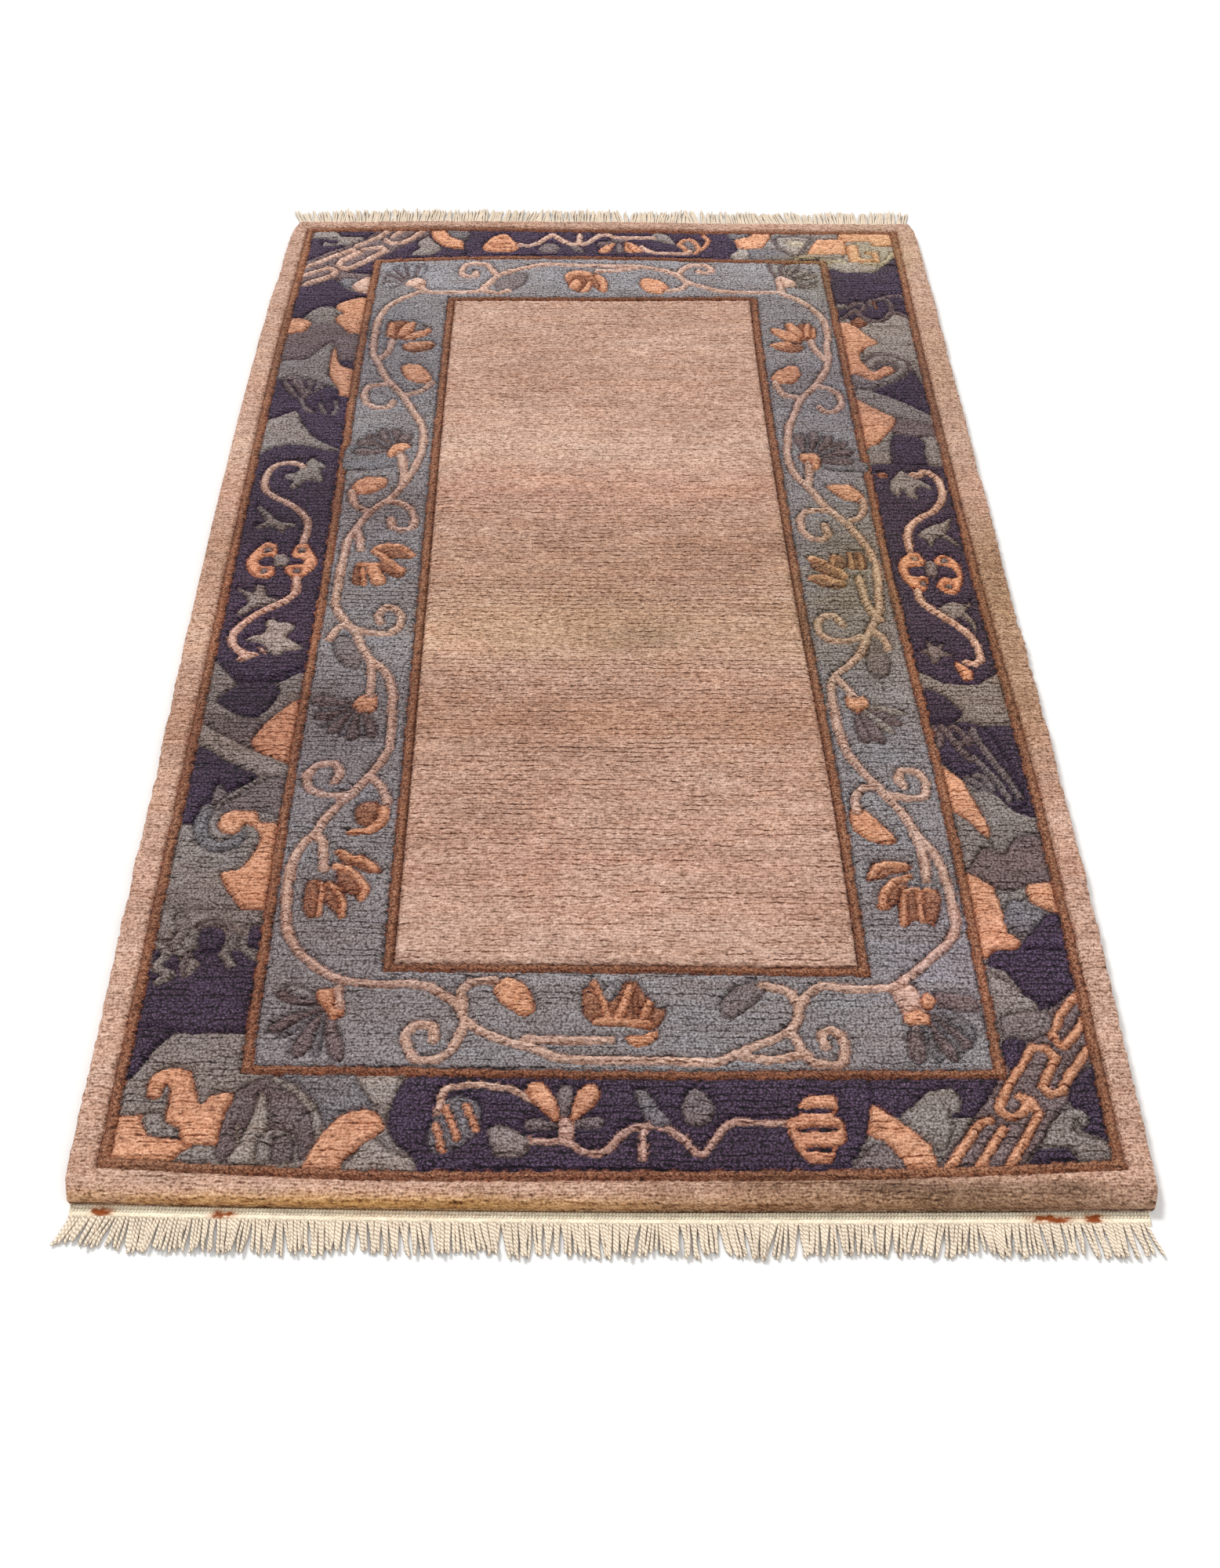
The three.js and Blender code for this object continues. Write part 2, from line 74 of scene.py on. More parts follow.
# FURROW dark and darkWide: how dark and how wide the painted shade in a furrow is.
FURROW = {"deep": 0.7, "wide": 1.6, "darkWide": 1.5, "dark": 0.12, "open": 0.25, "night": 0.4, "hem": 0.45}
SINK = 0.3  # the unevenness lowers the pile by this much
HALF_WIDTH = 450.0
HALF_LENGTH = 900.0
SKEW = {"middle": 1.3, "end": 6.15}
ORIGIN = {"across": 3.086, "along": -10.947}  # the middle of the design, on the floor
END = 890.0  # where the headings are measured across, either way from the middle
HEADING = {"gap": 0.3, "wide": 14.0, "thick": 3.0, "twined": 7.6, "inset": 2.0, "run": 898.3}
HEADING_GRID = {"across": 1.27, "along": 0.8}
WEAVE = {"low": 1.3, "bead": 1.6, "flat": 2.2, "wave": 0.3, "rough": 0.12, "least": 0.6}
STITCH = {"away": 12.2, "wide": 0.8, "pitch": 5.2, "share": 0.62, "deep": 0.7, "between": 0.35}
STRAND = {"pitch": 2.9, "radius": 1.7, "turn": 4.2, "inset": 5.0, "under": 1.2, "stray": 7.0}
STRAND.update({"Front": 31.5, "Back": 39.0, "thickest": 1.12, "rings": 10, "sides": 6})
KNOB = {"swell": 0.12, "close": 0.55}
LOOSE = {"aside": 0.4, "lean": 0.07, "reach": 0.1, "thin": 0.82, "lifted": 0.4}
SPLAY = {"left": 0.36, "leftWide": 26.0, "right": 0.3, "rightWide": 20.0}  # at the corners
BULGE_WIDE = 7.0  # how far in from the sides the rows bulge

# What a knot belongs to
KIND = {"ground": 0, "patch": 1, "stroke": 2, "line": 3}


def table(columns, rows):
    """A table's rows as dicts with named columns."""
    names = columns.split()
    return [dict(zip(names, row)) for row in rows]


# Where the sides and the three upright brown lines run, at seven places along the rug.
ACROSS = table(
    "along edgeLeft outerLeft middleLeft innerLeft innerRight middleRight outerRight edgeRight",
    [
        [905, -452, -433, -326, -215, 208, 311, 424, 447],
        [870, -459, -433, -326, -215, 208, 311, 424, 456],
        [500, -470, -439, -330, -216, 207, 318, 423, 460],
        [0, -470, -437, -325, -212, 218, 327, 427, 462],
        [-400, -464, -433, -326, -208, 233, 342, 435, 465],
        [-860, -458, -429, -320, -205, 238, 345, 431, 459],
        [-890, -452, -428, -320, -205, 238, 345, 431, 451],
    ],
)

# Where the ends and the three level brown lines run, at five places across the rug.
ALONG = table(
    "across edgeBack outerBack middleBack innerBack innerFront middleFront outerFront edgeFront",
    [
        [-450, 903, 878, 766, 668, -619, -744, -850, -888],
        [-220, 906, 881, 789, 668, -620, -746, -860, -890],
        [0, 903, 876, 790, 668, -620, -748, -858, -890],
        [220, 897, 870, 779, 668, -621, -745, -854, -887],
        [450, 896, 869, 773, 667, -621, -742, -840, -883],
    ],
)

# How the pile rounds over at the rug's edges, from the floor up: inset and share of its height.
EDGE_ROUND = table(
    "inset rise",
    [[0.9, 0.0], [0.2, 0.3], [0.0, 0.55], [0.5, 0.78], [1.8, 0.92], [3.8, 0.985], [6.2, 1.0]],
)

# How a petal widens from its heart to its tip: share of its length and of its half width.
PETAL = ((0.08, 0.2), (0.4, 0.72), (0.72, 1.0), (0.93, 0.66))

# What is uneven, by use: random patches so many millimetres across and along.
CLOUDS = table(
    "name across along seed strength",
    [
        ["outline across", 5, 5, 1, 0.8],
        ["outline across", 16, 16, 2, 0.4],
        ["outline along", 5, 4, 3, 0.8],
        ["outline along", 16, 16, 4, 0.4],
        ["row bend", 70, 500, 3, 1.8],
        ["row bend", 18, 30, 6, 0.8],
        ["row bend", 7, 9, 10, 0.5],
        ["row break", 60, 29, 5, 0.4],
        ["row break", 15, 31, 8, 0.56],
        ["ribbing", 110, 40, 9, 0.6],
        ["pile height", 7, 5, 11, 0.5],
        ["pile height", 90, 60, 12, 0.4],
        ["side bulge", 9, 5.5, 24, 1.1],
        ["side bulge", 9, 40, 25, 1.2],
        ["dye bend", 120, 70, 31, 9],
        ["dye bow", 60, 90, 32, 12],
        ["dye depth", 60, 9, 41, 0.11],
        ["dye depth", 22, 5, 42, 0.1],
        ["dye depth", 160, 90, 43, 0.1],
        ["dye depth", 34, 24, 45, 0.08],
        ["dye warmth", 45, 14, 44, 0.03],
        ["stain edge", 26, 16, 51, 0.35],
        ["stain edge", 9, 7, 52, 0.2],
        ["stitch stray", 30, 30, 62, 0.3],
        ["stitch pitch", 12, 30, 63, 0.1],
        ["heading shade", 9, 9, 64, 0.1],
        ["rust edge", 5, 3, 41, 0.9],
        ["rust edge", 2.4, 2, 42, 0.5],
        ["strand lean", 22, 10, 73, 0.16],
        ["strand lean", 90, 10, 75, 0.1],
        ["strand reach", 24, 10, 74, 0.08],
    ],
)

# How light comes back out of the wool and the yarn. Where it is dimmer it is warmer, by channel. cut and
# cutTint set the painted shade at the bottom of a cut, darker and warmer.
LIGHT_BACK = {"speck": 0.07, "channels": (0.8, 1.0, 1.12), "cut": 0.64, "cutTint": 0.7}
STAIN_DEPTH = {"full": 0.45, "most": 1.15}  # a stain is as dark as the wool that it is on
SHADE = {"hollow_shade": 0.5, "bead": 0.65, "flat": 0.98, "stitch": 0.6, "speck": 0.08}
FLANK = {"up": 0.8, "dark": 0.5}
RUST_PALE = (190, 112, 40)
RUST_DARK = (136, 62, 14)
RUST_LONG = 4.5
RUST_MEAN = 1.15
CREAM = (248, 232, 204)
WARP_CREAM = (246, 229, 208)

# Sizes of the noise in spun wool, in millimetres: how the tufts stray, then strands and fibres.
YARN_NOISE = table(
    "name across along detail",
    [
        ["aside", 9.0, 5.0, 1.0],
        ["forward", 8.0, 9.0, 0.0],
        ["strands", 6.5, 2.4, 2.0],
        ["fibre", 1.8, 1.6, 2.0],
    ],
)
STRAYED = {"aside": 1.5, "forward": 0.7, "start": -0.6}
TIP_LIGHT_AND_GRAIN = {"tip": 0.8, "middle": 0.6, "fibre": 1.3, "strewn": 2.0}
SWELL = {"tip": 1.1, "strands": 0.9, "fibre": 0.9, "row": 0.3}
LIT = {"plain": 1.06, "ribbed": 1.12, "least": 0.35, "blend": 0.4}
# OPEN_ROW and FINE_ROW: painted shade in the open and the fine furrows between rows, how wide and how
# dark; tint makes it warmer.
OPEN_ROW = {"wide": 0.19, "dark": 0.42, "tint": 0.6, "from": 0.85, "to": 0.3}
FINE_ROW = {"wide": 0.4, "dark": 0.2}
WARMER = {"green": 1.08, "blue": 1.13, "gamma": 1.35}
MATT = {"Roughness": 0.8, "Specular IOR Level": 0.25}

# The wools, as they look in daylight, and how coarse their tufts stand, which also sets how strongly the
# painted light on their tips and the painted shade between them show.
DYES = table(
    "name red green blue coarse",
    [
        ["rose", 198, 158, 137, 0.7],
        ["hem", 201, 160, 138, 1.0],
        ["bark", 143, 94, 67, 1.5],
        ["slate", 136, 128, 129, 1.6],
        ["night", 61, 44, 63, 2.2],
        ["sage", 134, 122, 117, 1.6],
        ["mist", 153, 140, 132, 1.4],
        ["olive", 182, 166, 146, 1.2],
        ["peach", 212, 153, 119, 0.8],
        ["copper", 150, 100, 75, 1.3],
        ["dusk", 115, 96, 95, 1.6],
        ["ash", 120, 106, 105, 1.6],
        ["plum", 104, 88, 88, 1.7],
        ["steel", 117, 110, 112, 1.6],
        ["blush", 207, 170, 152, 0.8],
        ["weft", 205, 186, 160, 0.5],
    ],
)
DYE = {row["name"]: i for i, row in enumerate(DYES)}
PLAIN_WOOLS = ("rose", "hem")

# The designs are drawn one shape to a row: wool, form, and points "across,along" in millimetres.
# patch and facet are closed outlines, soft and straight. stem and line are strokes so many
# millimetres wide, and | starts another stroke. petals grow from the first point to the others.
# A row that starts with a space carries on the one before.
CORNER_BACK_LEFT = """
ash facet -445,790 -320,790 -320,676 -445,676
night facet -445,895 -185,895 -185,778 -445,778
sage patch -430,876 -392,872 -386,858 -354,856 -351,840 -356,827 -385,830 -411,827 -411,838 -402,850
  -428,852
night patch -407,848 -391,848 -390,837 -401,835
dusk facet -440,774 -427,783 -400,806 -375,828 -350,850 -335,877 -325,895 -240,895 -250,877 -262,860
  -300,822 -330,785 -360,752 -378,728 -405,718 -440,700
blush line:9.5 -427,763 -397,790 -368,816 -355,805 -372,786 | -362,826 -346,841 -332,856 -316,882 |
  -350,818 -324,824 -318,814 -334,795 -346,780 -360,764 -372,757 -383,770 -378,784 -362,803
blush line:9.5 -427,738 -395,760 -384,752 -387,740 -400,728 -424,712 | -322,848 -310,836 -298,838 -284,852
  -266,880 | -312,858 -296,882
sage patch -258,860 -250,842 -238,825 -240,815 -252,802 -280,800 -281,808 -270,822 -273,840 -265,852
peach patch -257,873 -250,884 -237,880 -225,857 -208,845 -204,822 -218,819 -235,828 -250,850
steel patch -236,884 -196,880 -201,852 -212,847 -226,860
night patch -330,780 -345,770 -366,746 -350,739 -330,748
dusk facet -380,746 -328,741 -328,718 -378,722
steel patch -376,726 -350,726 -349,700 -372,702
blush patch -329,737 -355,716 -358,706 -352,694 -328,682
night patch -436,706 -425,702 -400,718 -385,727 -370,707 -357,690 -328,682 -328,673 -350,672 -365,662
  -375,650 -395,645 -408,632 -415,618 -436,612
"""

SIDE_BACK_LEFT = """
dusk facet -440,610 -320,610 -320,498 -440,498
sage patch -424,613 -410,632 -398,643 -380,646 -360,625 -368,612 -372,598 -405,598
peach patch -343,674 -328,676 -328,566 -335,570 -350,572 -358,585 -368,600 -371,618 -362,626 -372,640
  -375,650 -364,660
peach patch -440,612 -420,613 -403,602 -412,575 -440,568
night facet -440,468 -320,468 -320,250 -440,250
sage patch -370,546 -365,535 -367,500 -367,460 -351,426 -372,438 -395,450 -440,452 -440,492 -400,500
  -393,512 -380,535
peach patch -366,534 -360,515 -358,500 -350,482 -328,468 -328,406 -347,407 -350,425 -360,445 -367,470
  -368,500
dusk patch -426,448 -412,458 -392,446 -371,438 -369,424 -382,416 -390,400 -404,404 -416,418
night line:3 -416,442 -404,420 -398,406 | -398,446 -390,424 | -382,438 -384,420
ash stem:6 -396,400 -391,382 -384,370 -378,366 | -371,388 -366,376 -362,362 | -350,394 -347,376 -351,360
sage patch -440,338 -420,352 -400,369 -388,340 -370,306 -345,283 -318,268 -318,262 -440,262
night facet -440,250 -432,266 -418,280 -400,288 -380,286 -362,279 -345,272 -318,276 -318,-158 -338,-172
  -368,-192 -402,-192 -440,-160
"""

PANEL_LEFT = """
sage patch -365,258 -357,248 -346,238 -353,228 -350,214 -349,202 -361,206 -372,202 -384,185 -389,191
  -384,203 -397,211 -397,219 -382,224 -379,234 -373,247
sage patch -423,150 -412,142 -402,128 -394,118 -386,113 -372,110 -371,104 -382,101 -384,90 -393,101
  -402,106 -412,98 -421,104 -408,114 -413,128
sage patch -424,-20 -412,-26 -404,-31 -402,-14 -393,-16 -390,-30 -386,-38 -372,-44 -384,-52 -394,-56
  -402,-62 -412,-74 -420,-70 -412,-56 -408,-47 -413,-36
mist patch -384,-84 -376,-80 -367,-88 -360,-86 -351,-90 -350,-98 -358,-111 -352,-118 -336,-134 -344,-138
  -354,-138 -364,-147 -374,-140 -382,-126 -392,-122 -403,-117 -394,-111 -384,-109 -382,-98
blush line:4 -386,-132 -378,-142
peach patch -402,71 -390,68 -387,56 -387,43 -400,42 -406,36 -406,29 -400,24 -387,23 -385,6 -392,-3 -404,-1
  -413,10 -420,26 -420,38 -412,58
peach patch -368,62 -360,71 -351,66 -344,50 -338,34 -341,16 -350,3 -362,1 -372,10 -375,22 -364,26 -354,28
  -354,38 -368,42
ash patch -402,60 -394,60 -394,50 -402,50
ash patch -402,18 -394,18 -394,8 -402,8
ash patch -362,60 -354,60 -354,50 -362,50
ash patch -364,18 -356,18 -356,9 -364,9
sage patch -388,46 -376,47 -371,38 -373,24 -381,20 -388,26
blush stem:9 -376,237 -384,244 -395,245 -408,240 -417,227 -420,208 -418,190 -411,177 -398,165 -381,152
  -369,137 -359,120 -356,104 -357,88 -359,72
blush stem:10 -359,0 -356,-17 -358,-33 -368,-47 -387,-62 -400,-77 -413,-97 -418,-113 -415,-128 -404,-140
  -395,-148 | -402,-153 -390,-145
"""

SIDE_FRONT_LEFT = """
sage facet -440,-150 -428,-158 -400,-198 -358,-196 -336,-178 -318,-170 -318,-272 -440,-272
ash facet -440,-256 -318,-262 -318,-360 -440,-360
night patch -396,-196 -366,-194 -353,-207 -365,-245 -379,-256 -400,-246 -419,-226
peach patch -318,-222 -338,-228 -348,-242 -362,-262 -374,-292 -358,-325 -318,-346
mist patch -440,-258 -432,-262 -375,-305 -318,-340 -318,-354 -350,-353 -382,-340 -440,-296
night patch -440,-296 -428,-300 -395,-326 -360,-352 -382,-372 -404,-400 -412,-426 -440,-424
sage facet -412,-425 -404,-398 -382,-370 -350,-350 -318,-346 -318,-640 -440,-640 -440,-424
ash patch -398,-362 -384,-378 -352,-354 -318,-356 -318,-414 -345,-406 -372,-404 -392,-404 -402,-392
sage line:8 -350,-350 -372,-370 -405,-410
steel stem:15 -404,-402 -408,-424 -402,-446 -388,-458 -374,-454 -367,-440
peach patch -370,-438 -385,-436 -391,-425 -388,-410 -380,-404 -355,-405 -348,-420 -318,-424 -318,-556
  -340,-558 -355,-540 -368,-520 -378,-495 -360,-488 -350,-465 -346,-442 -354,-428 -365,-424
night facet -440,-598 -318,-598 -318,-712 -440,-712
sage facet -440,-545 -318,-545 -318,-600 -330,-612 -340,-605 -350,-590 -358,-575 -366,-566 -384,-568
  -388,-590 -392,-606 -404,-600 -410,-585 -440,-585
sage stem:10 -408,-556 -402,-574 -408,-592 -398,-606 -386,-618 -392,-630 | -438,-588 -424,-592 -414,-604
  -420,-622 -406,-632 -416,-640 | -362,-572 -352,-588 -360,-604 -352,-618
ash stem:6 -388,-570 -376,-562 -362,-566 -352,-582 | -430,-600 -427,-620 -434,-632 | -392,-604 -398,-618
  -394,-630
sage stem:8 -340,-566 -344,-588 -336,-604 -326,-610
night patch -386,-572 -374,-568 -363,-574 -364,-598 -374,-604 -385,-600
night patch -340,-568 -328,-566 -324,-596 -338,-594
"""

CORNER_FRONT_LEFT = """
sage facet -445,-703 -322,-703 -322,-750 -160,-750 -160,-870 -445,-870
night patch -440,-700 -394,-700 -408,-727 -415,-745 -422,-758 -440,-766
peach patch -440,-798 -422,-799 -402,-798 -395,-820 -365,-822 -355,-830 -366,-850 -375,-866 -440,-866
sage patch -404,-800 -396,-820 -363,-823 -356,-802 -369,-800 -372,-808 -385,-806 -386,-796
peach patch -403,-780 -405,-758 -396,-747 -383,-744 -370,-748 -361,-775 -356,-786 -349,-775 -335,-771
  -325,-775 -314,-786 -325,-800 -332,-812 -335,-830 -366,-828 -372,-812 -383,-806 -385,-768 -390,-762
  -393,-779
sage patch -374,-850 -370,-866 -320,-866 -324,-850 -333,-832 -355,-831
plum patch -334,-800 -326,-770 -304,-754 -276,-768 -256,-794 -248,-820 -256,-842 -268,-852 -326,-852
  -336,-838
mist patch -304,-770 -310,-798 -318,-826 -324,-850 -290,-852 -294,-826 -296,-798
sage patch -300,-818 -286,-812 -270,-820 -267,-852 -300,-852
plum patch -290,-824 -278,-818 -270,-828 -271,-848 -287,-850
mist stem:7 -294,-756 -272,-772 -256,-796 -249,-822 -262,-850 -300,-854 -340,-852
mist line:3 -322,-808 -318,-830
steel patch -292,-752 -225,-750 -206,-785 -225,-795 -242,-812 -256,-784 -272,-764
mist patch -222,-750 -170,-748 -183,-772 -195,-790 -206,-784
peach patch -232,-795 -215,-789 -203,-793 -194,-810 -215,-830 -228,-848 -232,-866 -270,-866 -262,-851
  -248,-815
mist patch -205,-820 -183,-838 -165,-843 -158,-866 -230,-866 -215,-832
"""

PANEL_FRONT = """
night patch -172,-744 -186,-766 -191,-785 -193,-805 -185,-825 -167,-842 -160,-866 205,-866 204,-842
  215,-825 222,-800 224,-744
steel patch -153,-794 -148,-780 -132,-772 -116,-780 -112,-800 -119,-820 -134,-832 -150,-837 -158,-822
peach line:7 -151,-806 -144,-832 | -143,-786 -132,-820 | -126,-784 -116,-810
blush stem:7.5 -150,-792 -145,-766 -120,-760 -85,-765 -70,-776
ash petals:15 -40,-806 -40,-758 -76,-804 -4,-800
peach petals:21 -42,-806 -70,-756
peach petals:20 -36,-806 -14,-758
blush patch -46,-798 -36,-796 -31,-808 -34,-824 -44,-822
blush stem:7.5 -72,-822 -55,-823 -40,-822 -26,-831 -12,-836 0,-828 8,-815 20,-806 35,-804 50,-808 62,-818
  72,-833 78,-835 85,-825 95,-808 106,-799 130,-800 155,-800 | 28,-808 27,-840
steel patch 20,-764 31,-765 42,-785 53,-801 40,-806 29,-795
ash patch 66,-766 74,-761 86,-771 91,-785 86,-799 75,-806 64,-800 61,-784
sage patch -106,-812 -98,-804 -80,-811 -70,-822 -72,-836 -86,-841 -99,-838
peach patch 162,-792 164,-778 172,-769 195,-769 198,-785 193,-791 201,-796 201,-820 193,-826 188,-841
  170,-844 159,-830 151,-806 152,-796
night line:4.5 166,-786 191,-786 | 163,-807 194,-806 | 169,-828 187,-828
"""

CORNER_FRONT_RIGHT = """
sage facet 205,-746 345,-746 345,-600 445,-600 445,-870 205,-870
night facet 224,-744 346,-744 350,-778 334,-792 222,-790
ash patch 203,-866 208,-842 225,-822 240,-826 252,-847 258,-866
sage patch 250,-792 262,-780 275,-765 300,-759 306,-772 304,-786 293,-790 296,-802 284,-828 274,-828
  258,-802
peach patch 222,-776 248,-795 265,-812 274,-824 276,-866 256,-862 250,-845 235,-820 221,-812
night patch 352,-610 360,-592 440,-592 440,-636 425,-640 410,-655 392,-665 378,-640 368,-618
sage patch 340,-616 352,-618 370,-635 391,-662 366,-682 340,-688
dusk facet 266,-870 276,-844 300,-815 315,-790 330,-770 345,-745 352,-728 375,-705 378,-690 400,-665
  430,-638 445,-632 445,-742 430,-724 420,-735 405,-755 398,-775 385,-790 375,-810 362,-825 350,-843
  346,-870
peach line:9 430,-645 412,-667 397,-696 404,-707 | 340,-774 350,-755 370,-722 378,-711 390,-712 397,-723
  385,-745 379,-756 385,-765 395,-762 403,-747 427,-712
peach line:9 340,-774 338,-782 346,-791 355,-787 366,-772 358,-768 | 366,-772 372,-786 355,-815 335,-848 |
  286,-846 302,-822 318,-798 328,-794 | 310,-848 324,-825 338,-803
peach line:9 432,-674 416,-698 406,-709
night patch 352,-706 362,-698 376,-697 364,-726 356,-736 350,-726
night patch 440,-728 424,-733 405,-755 400,-772 414,-795 404,-803 427,-814 440,-812
night patch 352,-848 365,-824 390,-822 398,-839 392,-866 352,-866
sage patch 368,-824 372,-812 381,-795 398,-780 411,-782 414,-795 408,-801 402,-792 401,-808 425,-815
  440,-816 440,-842 400,-840 394,-824
ash patch 354,-676 372,-668 400,-672 398,-690 380,-702 354,-698
"""

SIDE_FRONT_RIGHT = """
sage facet 330,-160 445,-160 445,-620 330,-620
night facet 392,-262 445,-262 445,-404 402,-404 396,-330
night patch 328,-202 352,-203 366,-216 378,-240 360,-262 340,-254 328,-240
night patch 330,-256 352,-256 376,-254 396,-262 410,-300 425,-380 410,-398 386,-370 366,-352 345,-318
  330,-300
dusk stem:8 342,-262 350,-280 345,-296 | 352,-262 360,-276 366,-296 376,-316 | 364,-262 374,-274 378,-290
  | 384,-272 380,-284 366,-292
ash stem:8 386,-268 388,-286 394,-304 402,-326 412,-350 419,-376 | 380,-312 390,-332 400,-354 408,-380 |
  378,-340 386,-346 392,-362 | 368,-346 378,-354 388,-372
dusk patch 330,-486 352,-480 370,-452 390,-461 400,-440 412,-425 445,-418 445,-505 405,-503 388,-512
  372,-505 350,-488 330,-496
sage patch 368,-368 393,-370 412,-398 428,-405 445,-404 445,-422 405,-436 388,-459 377,-440 378,-405
peach patch 330,-316 350,-330 363,-350 375,-395 381,-420 378,-436 360,-410 345,-393 330,-372
peach patch 330,-486 350,-486 372,-505 378,-550 378,-568 388,-577 380,-592 355,-611 330,-606
peach patch 405,-503 428,-499 445,-502 445,-541 428,-541 406,-526
steel patch 385,-525 405,-528 421,-540 405,-565 390,-573 376,-552
night patch 424,-540 445,-545 445,-625 352,-613 372,-605 392,-576 412,-552
"""

PANEL_RIGHT = """
night facet 318,244 340,247 421,240 445,236 445,-150 421,-176 400,-193 364,-190 336,-166 326,-150
sage patch 366,234 357,222 349,209 347,190 350,180 356,171 360,188 364,187 367,173 379,167 376,184 386,196
  396,187 398,196 386,208 376,219 370,226
copper patch 334,227 346,225 348,217 336,216
sage patch 414,128 398,117 386,110 375,101 369,92 373,84 378,82 382,66 386,72 389,84 396,88 405,80 415,70
  410,84 402,94 407,104 411,118
sage patch 414,-38 408,-46 396,-41 386,-42 378,-52 368,-60 378,-64 382,-70 377,-80 388,-74 398,-70 408,-80
  412,-98 415,-84 410,-68 406,-58 412,-50
ash patch 356,-112 362,-124 374,-118 370,-132 382,-142 368,-144 358,-156 354,-140 342,-134 354,-128
peach patch 393,51 403,45 410,32 412,16 410,-3 404,-20 397,-28 387,-25 379,-13 382,0 388,6 398,3 405,6
  404,18 398,26 389,29 382,35 384,45
peach patch 358,60 367,51 371,41 371,29 360,27 351,26 349,18 351,9 360,8 370,7 369,-8 364,-20 354,-22
  346,-8 340,8 339,25 342,41 350,50
ash patch 390,43 398,43 398,35 390,35
ash patch 389,-8 397,-8 397,-16 389,-16
ash patch 360,-2 368,-2 368,-10 360,-10
olive patch 357,46 364,46 364,39 357,39
ash patch 372,38 377,41 384,34 384,14 378,5 371,10 370,24
blush stem:10 378,224 386,220 390,228 400,226 408,212 411,188 407,167 394,142 379,130 369,120 361,107
  357,91 356,74 357,60
blush stem:9.5 356,-20 357,-38 363,-50 376,-66 389,-81 400,-96 407,-112 411,-130 410,-148 403,-156 394,-152
peach patch 381,-152 392,-160 399,-170 396,-184 388,-186 384,-172
"""

SIDE_BACK_RIGHT = """
sage facet 308,242 445,236 445,640 308,640
night facet 364,314 396,312 402,297 399,275 401,240 356,240 356,275 360,300
dusk patch 362,346 384,352 416,340 418,312 392,310 366,316
peach patch 308,404 323,405 340,390 360,370 371,354 368,335 355,315 340,290 308,276
sage patch 308,424 345,420 385,395 420,360 445,350 445,330 420,338 370,356 322,405 308,410
night patch 402,484 410,470 416,442 445,430 445,352 418,362 395,385 365,412 348,421 375,440 390,460
ash facet 322,430 345,424 372,444 392,470 404,490 430,486 430,512 350,512 322,470
sage facet 345,500 445,486 445,540 345,540
sage stem:13 352,480 352,494 364,504 380,503 394,490 394,474 383,458 366,445
dusk stem:3.5 344,468 343,492 358,512 382,512 402,496 403,476 392,456 372,440 | 358,474 360,490 368,497
  379,495 386,487 386,476 378,464
peach patch 308,606 325,602 338,600 352,572 368,548 350,533 341,520 340,505 350,478 355,470 370,484
  380,483 384,474 362,455 352,447 335,462 308,476
copper patch 338,612 352,616 360,602 350,588 338,594
night facet 300,766 445,766 445,612 300,612
sage patch 318,653 336,653 342,645 330,640 318,642
copper patch 342,612 350,620 359,607 354,594 342,596
mist facet 362,588 362,603 380,605 394,630 408,623 422,608 445,608 445,588
dusk stem:8 318,606 328,616 338,628 346,638 352,622 360,611 372,605 383,610 390,622 396,636 398,650
  394,664 | 340,650 350,659 360,651 356,638
dusk stem:7 370,650 368,664 382,668 396,676 411,678 424,668 | 396,634 406,627 418,616
copper line:4 374,664 376,644
"""

CORNER_BACK_RIGHT = """
mist facet 180,895 445,895 445,812 408,794 396,762 382,746 342,746 308,764 308,790 180,790
sage patch 180,895 445,895 445,842 418,838 343,840 343,790 308,788 180,786
olive stem:8 312,768 330,780 345,776 | 372,772 396,772 408,788 416,806
mist patch 250,850 270,856 290,855 303,848 300,830 288,804 274,797 255,820
steel patch 198,816 225,821 250,812 272,788 214,786
mist patch 176,818 206,814 206,788 180,786
ash stem:5 246,850 251,826 261,808 276,798 | 302,850 291,826 285,808 276,798 | 250,853 274,858 300,853
olive patch 260,838 272,826 286,824 291,836 282,844 266,843
peach patch 218,868 242,864 240,850 225,820 210,817 195,822 186,845 212,857
steel patch 175,864 176,884 218,884 216,868 200,852 182,850
peach facet 308,847 350,849 350,801 291,801 297,822
peach facet 341,867 419,867 419,826 390,826 386,841 352,841 341,849
peach facet 350,832 368,832 368,792 373,787 386,787 386,799 376,800 376,809 396,809 396,779 352,776
"""

PANEL_BACK = """
night patch -206,890 -198,866 -205,838 -206,822 -200,808 -206,786 184,784 179,798 190,812 191,835 178,862
  174,890
peach patch -157,864 -142,864 -135,846 -126,832 -128,818 -137,810 -173,812 -179,826 -170,850
night line:2.6 -168,834 -140,835 | -156,851 -143,851 | -164,824 -138,823
ash patch -86,838 -75,836 -65,825 -74,807 -90,807 -99,820
ash patch -52,832 -40,830 -29,806 -44,812
dusk petals:13 16,842 -14,832
ash petals:13 20,846 20,806
peach petals:17 14,841 -8,806
peach petals:18 28,845 40,806 52,808
dusk patch 10,858 28,858 30,844 18,838 8,846
sage patch 65,851 68,866 80,867 93,860 101,834 84,840
ash patch 104,838 112,848 125,849 138,840 141,820 132,802 119,801 107,828
peach stem:7 106,832 113,845 122,849 | 126,846 134,832 135,816 129,804 | 143,861 150,848 147,834 140,818 |
  108,830 115,820 119,808
blush stem:9 -126,831 -110,830 -99,838 -88,853 -78,865 -67,852 -57,839 -43,833 -30,835 -20,847 -10,861
  3,863 17,855 37,853 70,852 | -39,836 -38,864 | 52,826 60,815 72,806 90,804 118,804 122,812
"""

INNER_GREYS = """
steel patch -326,282 -300,284 -256,272 -254,240 -300,228 -326,232
steel patch 262,254 300,256 326,246 322,228 276,230
"""

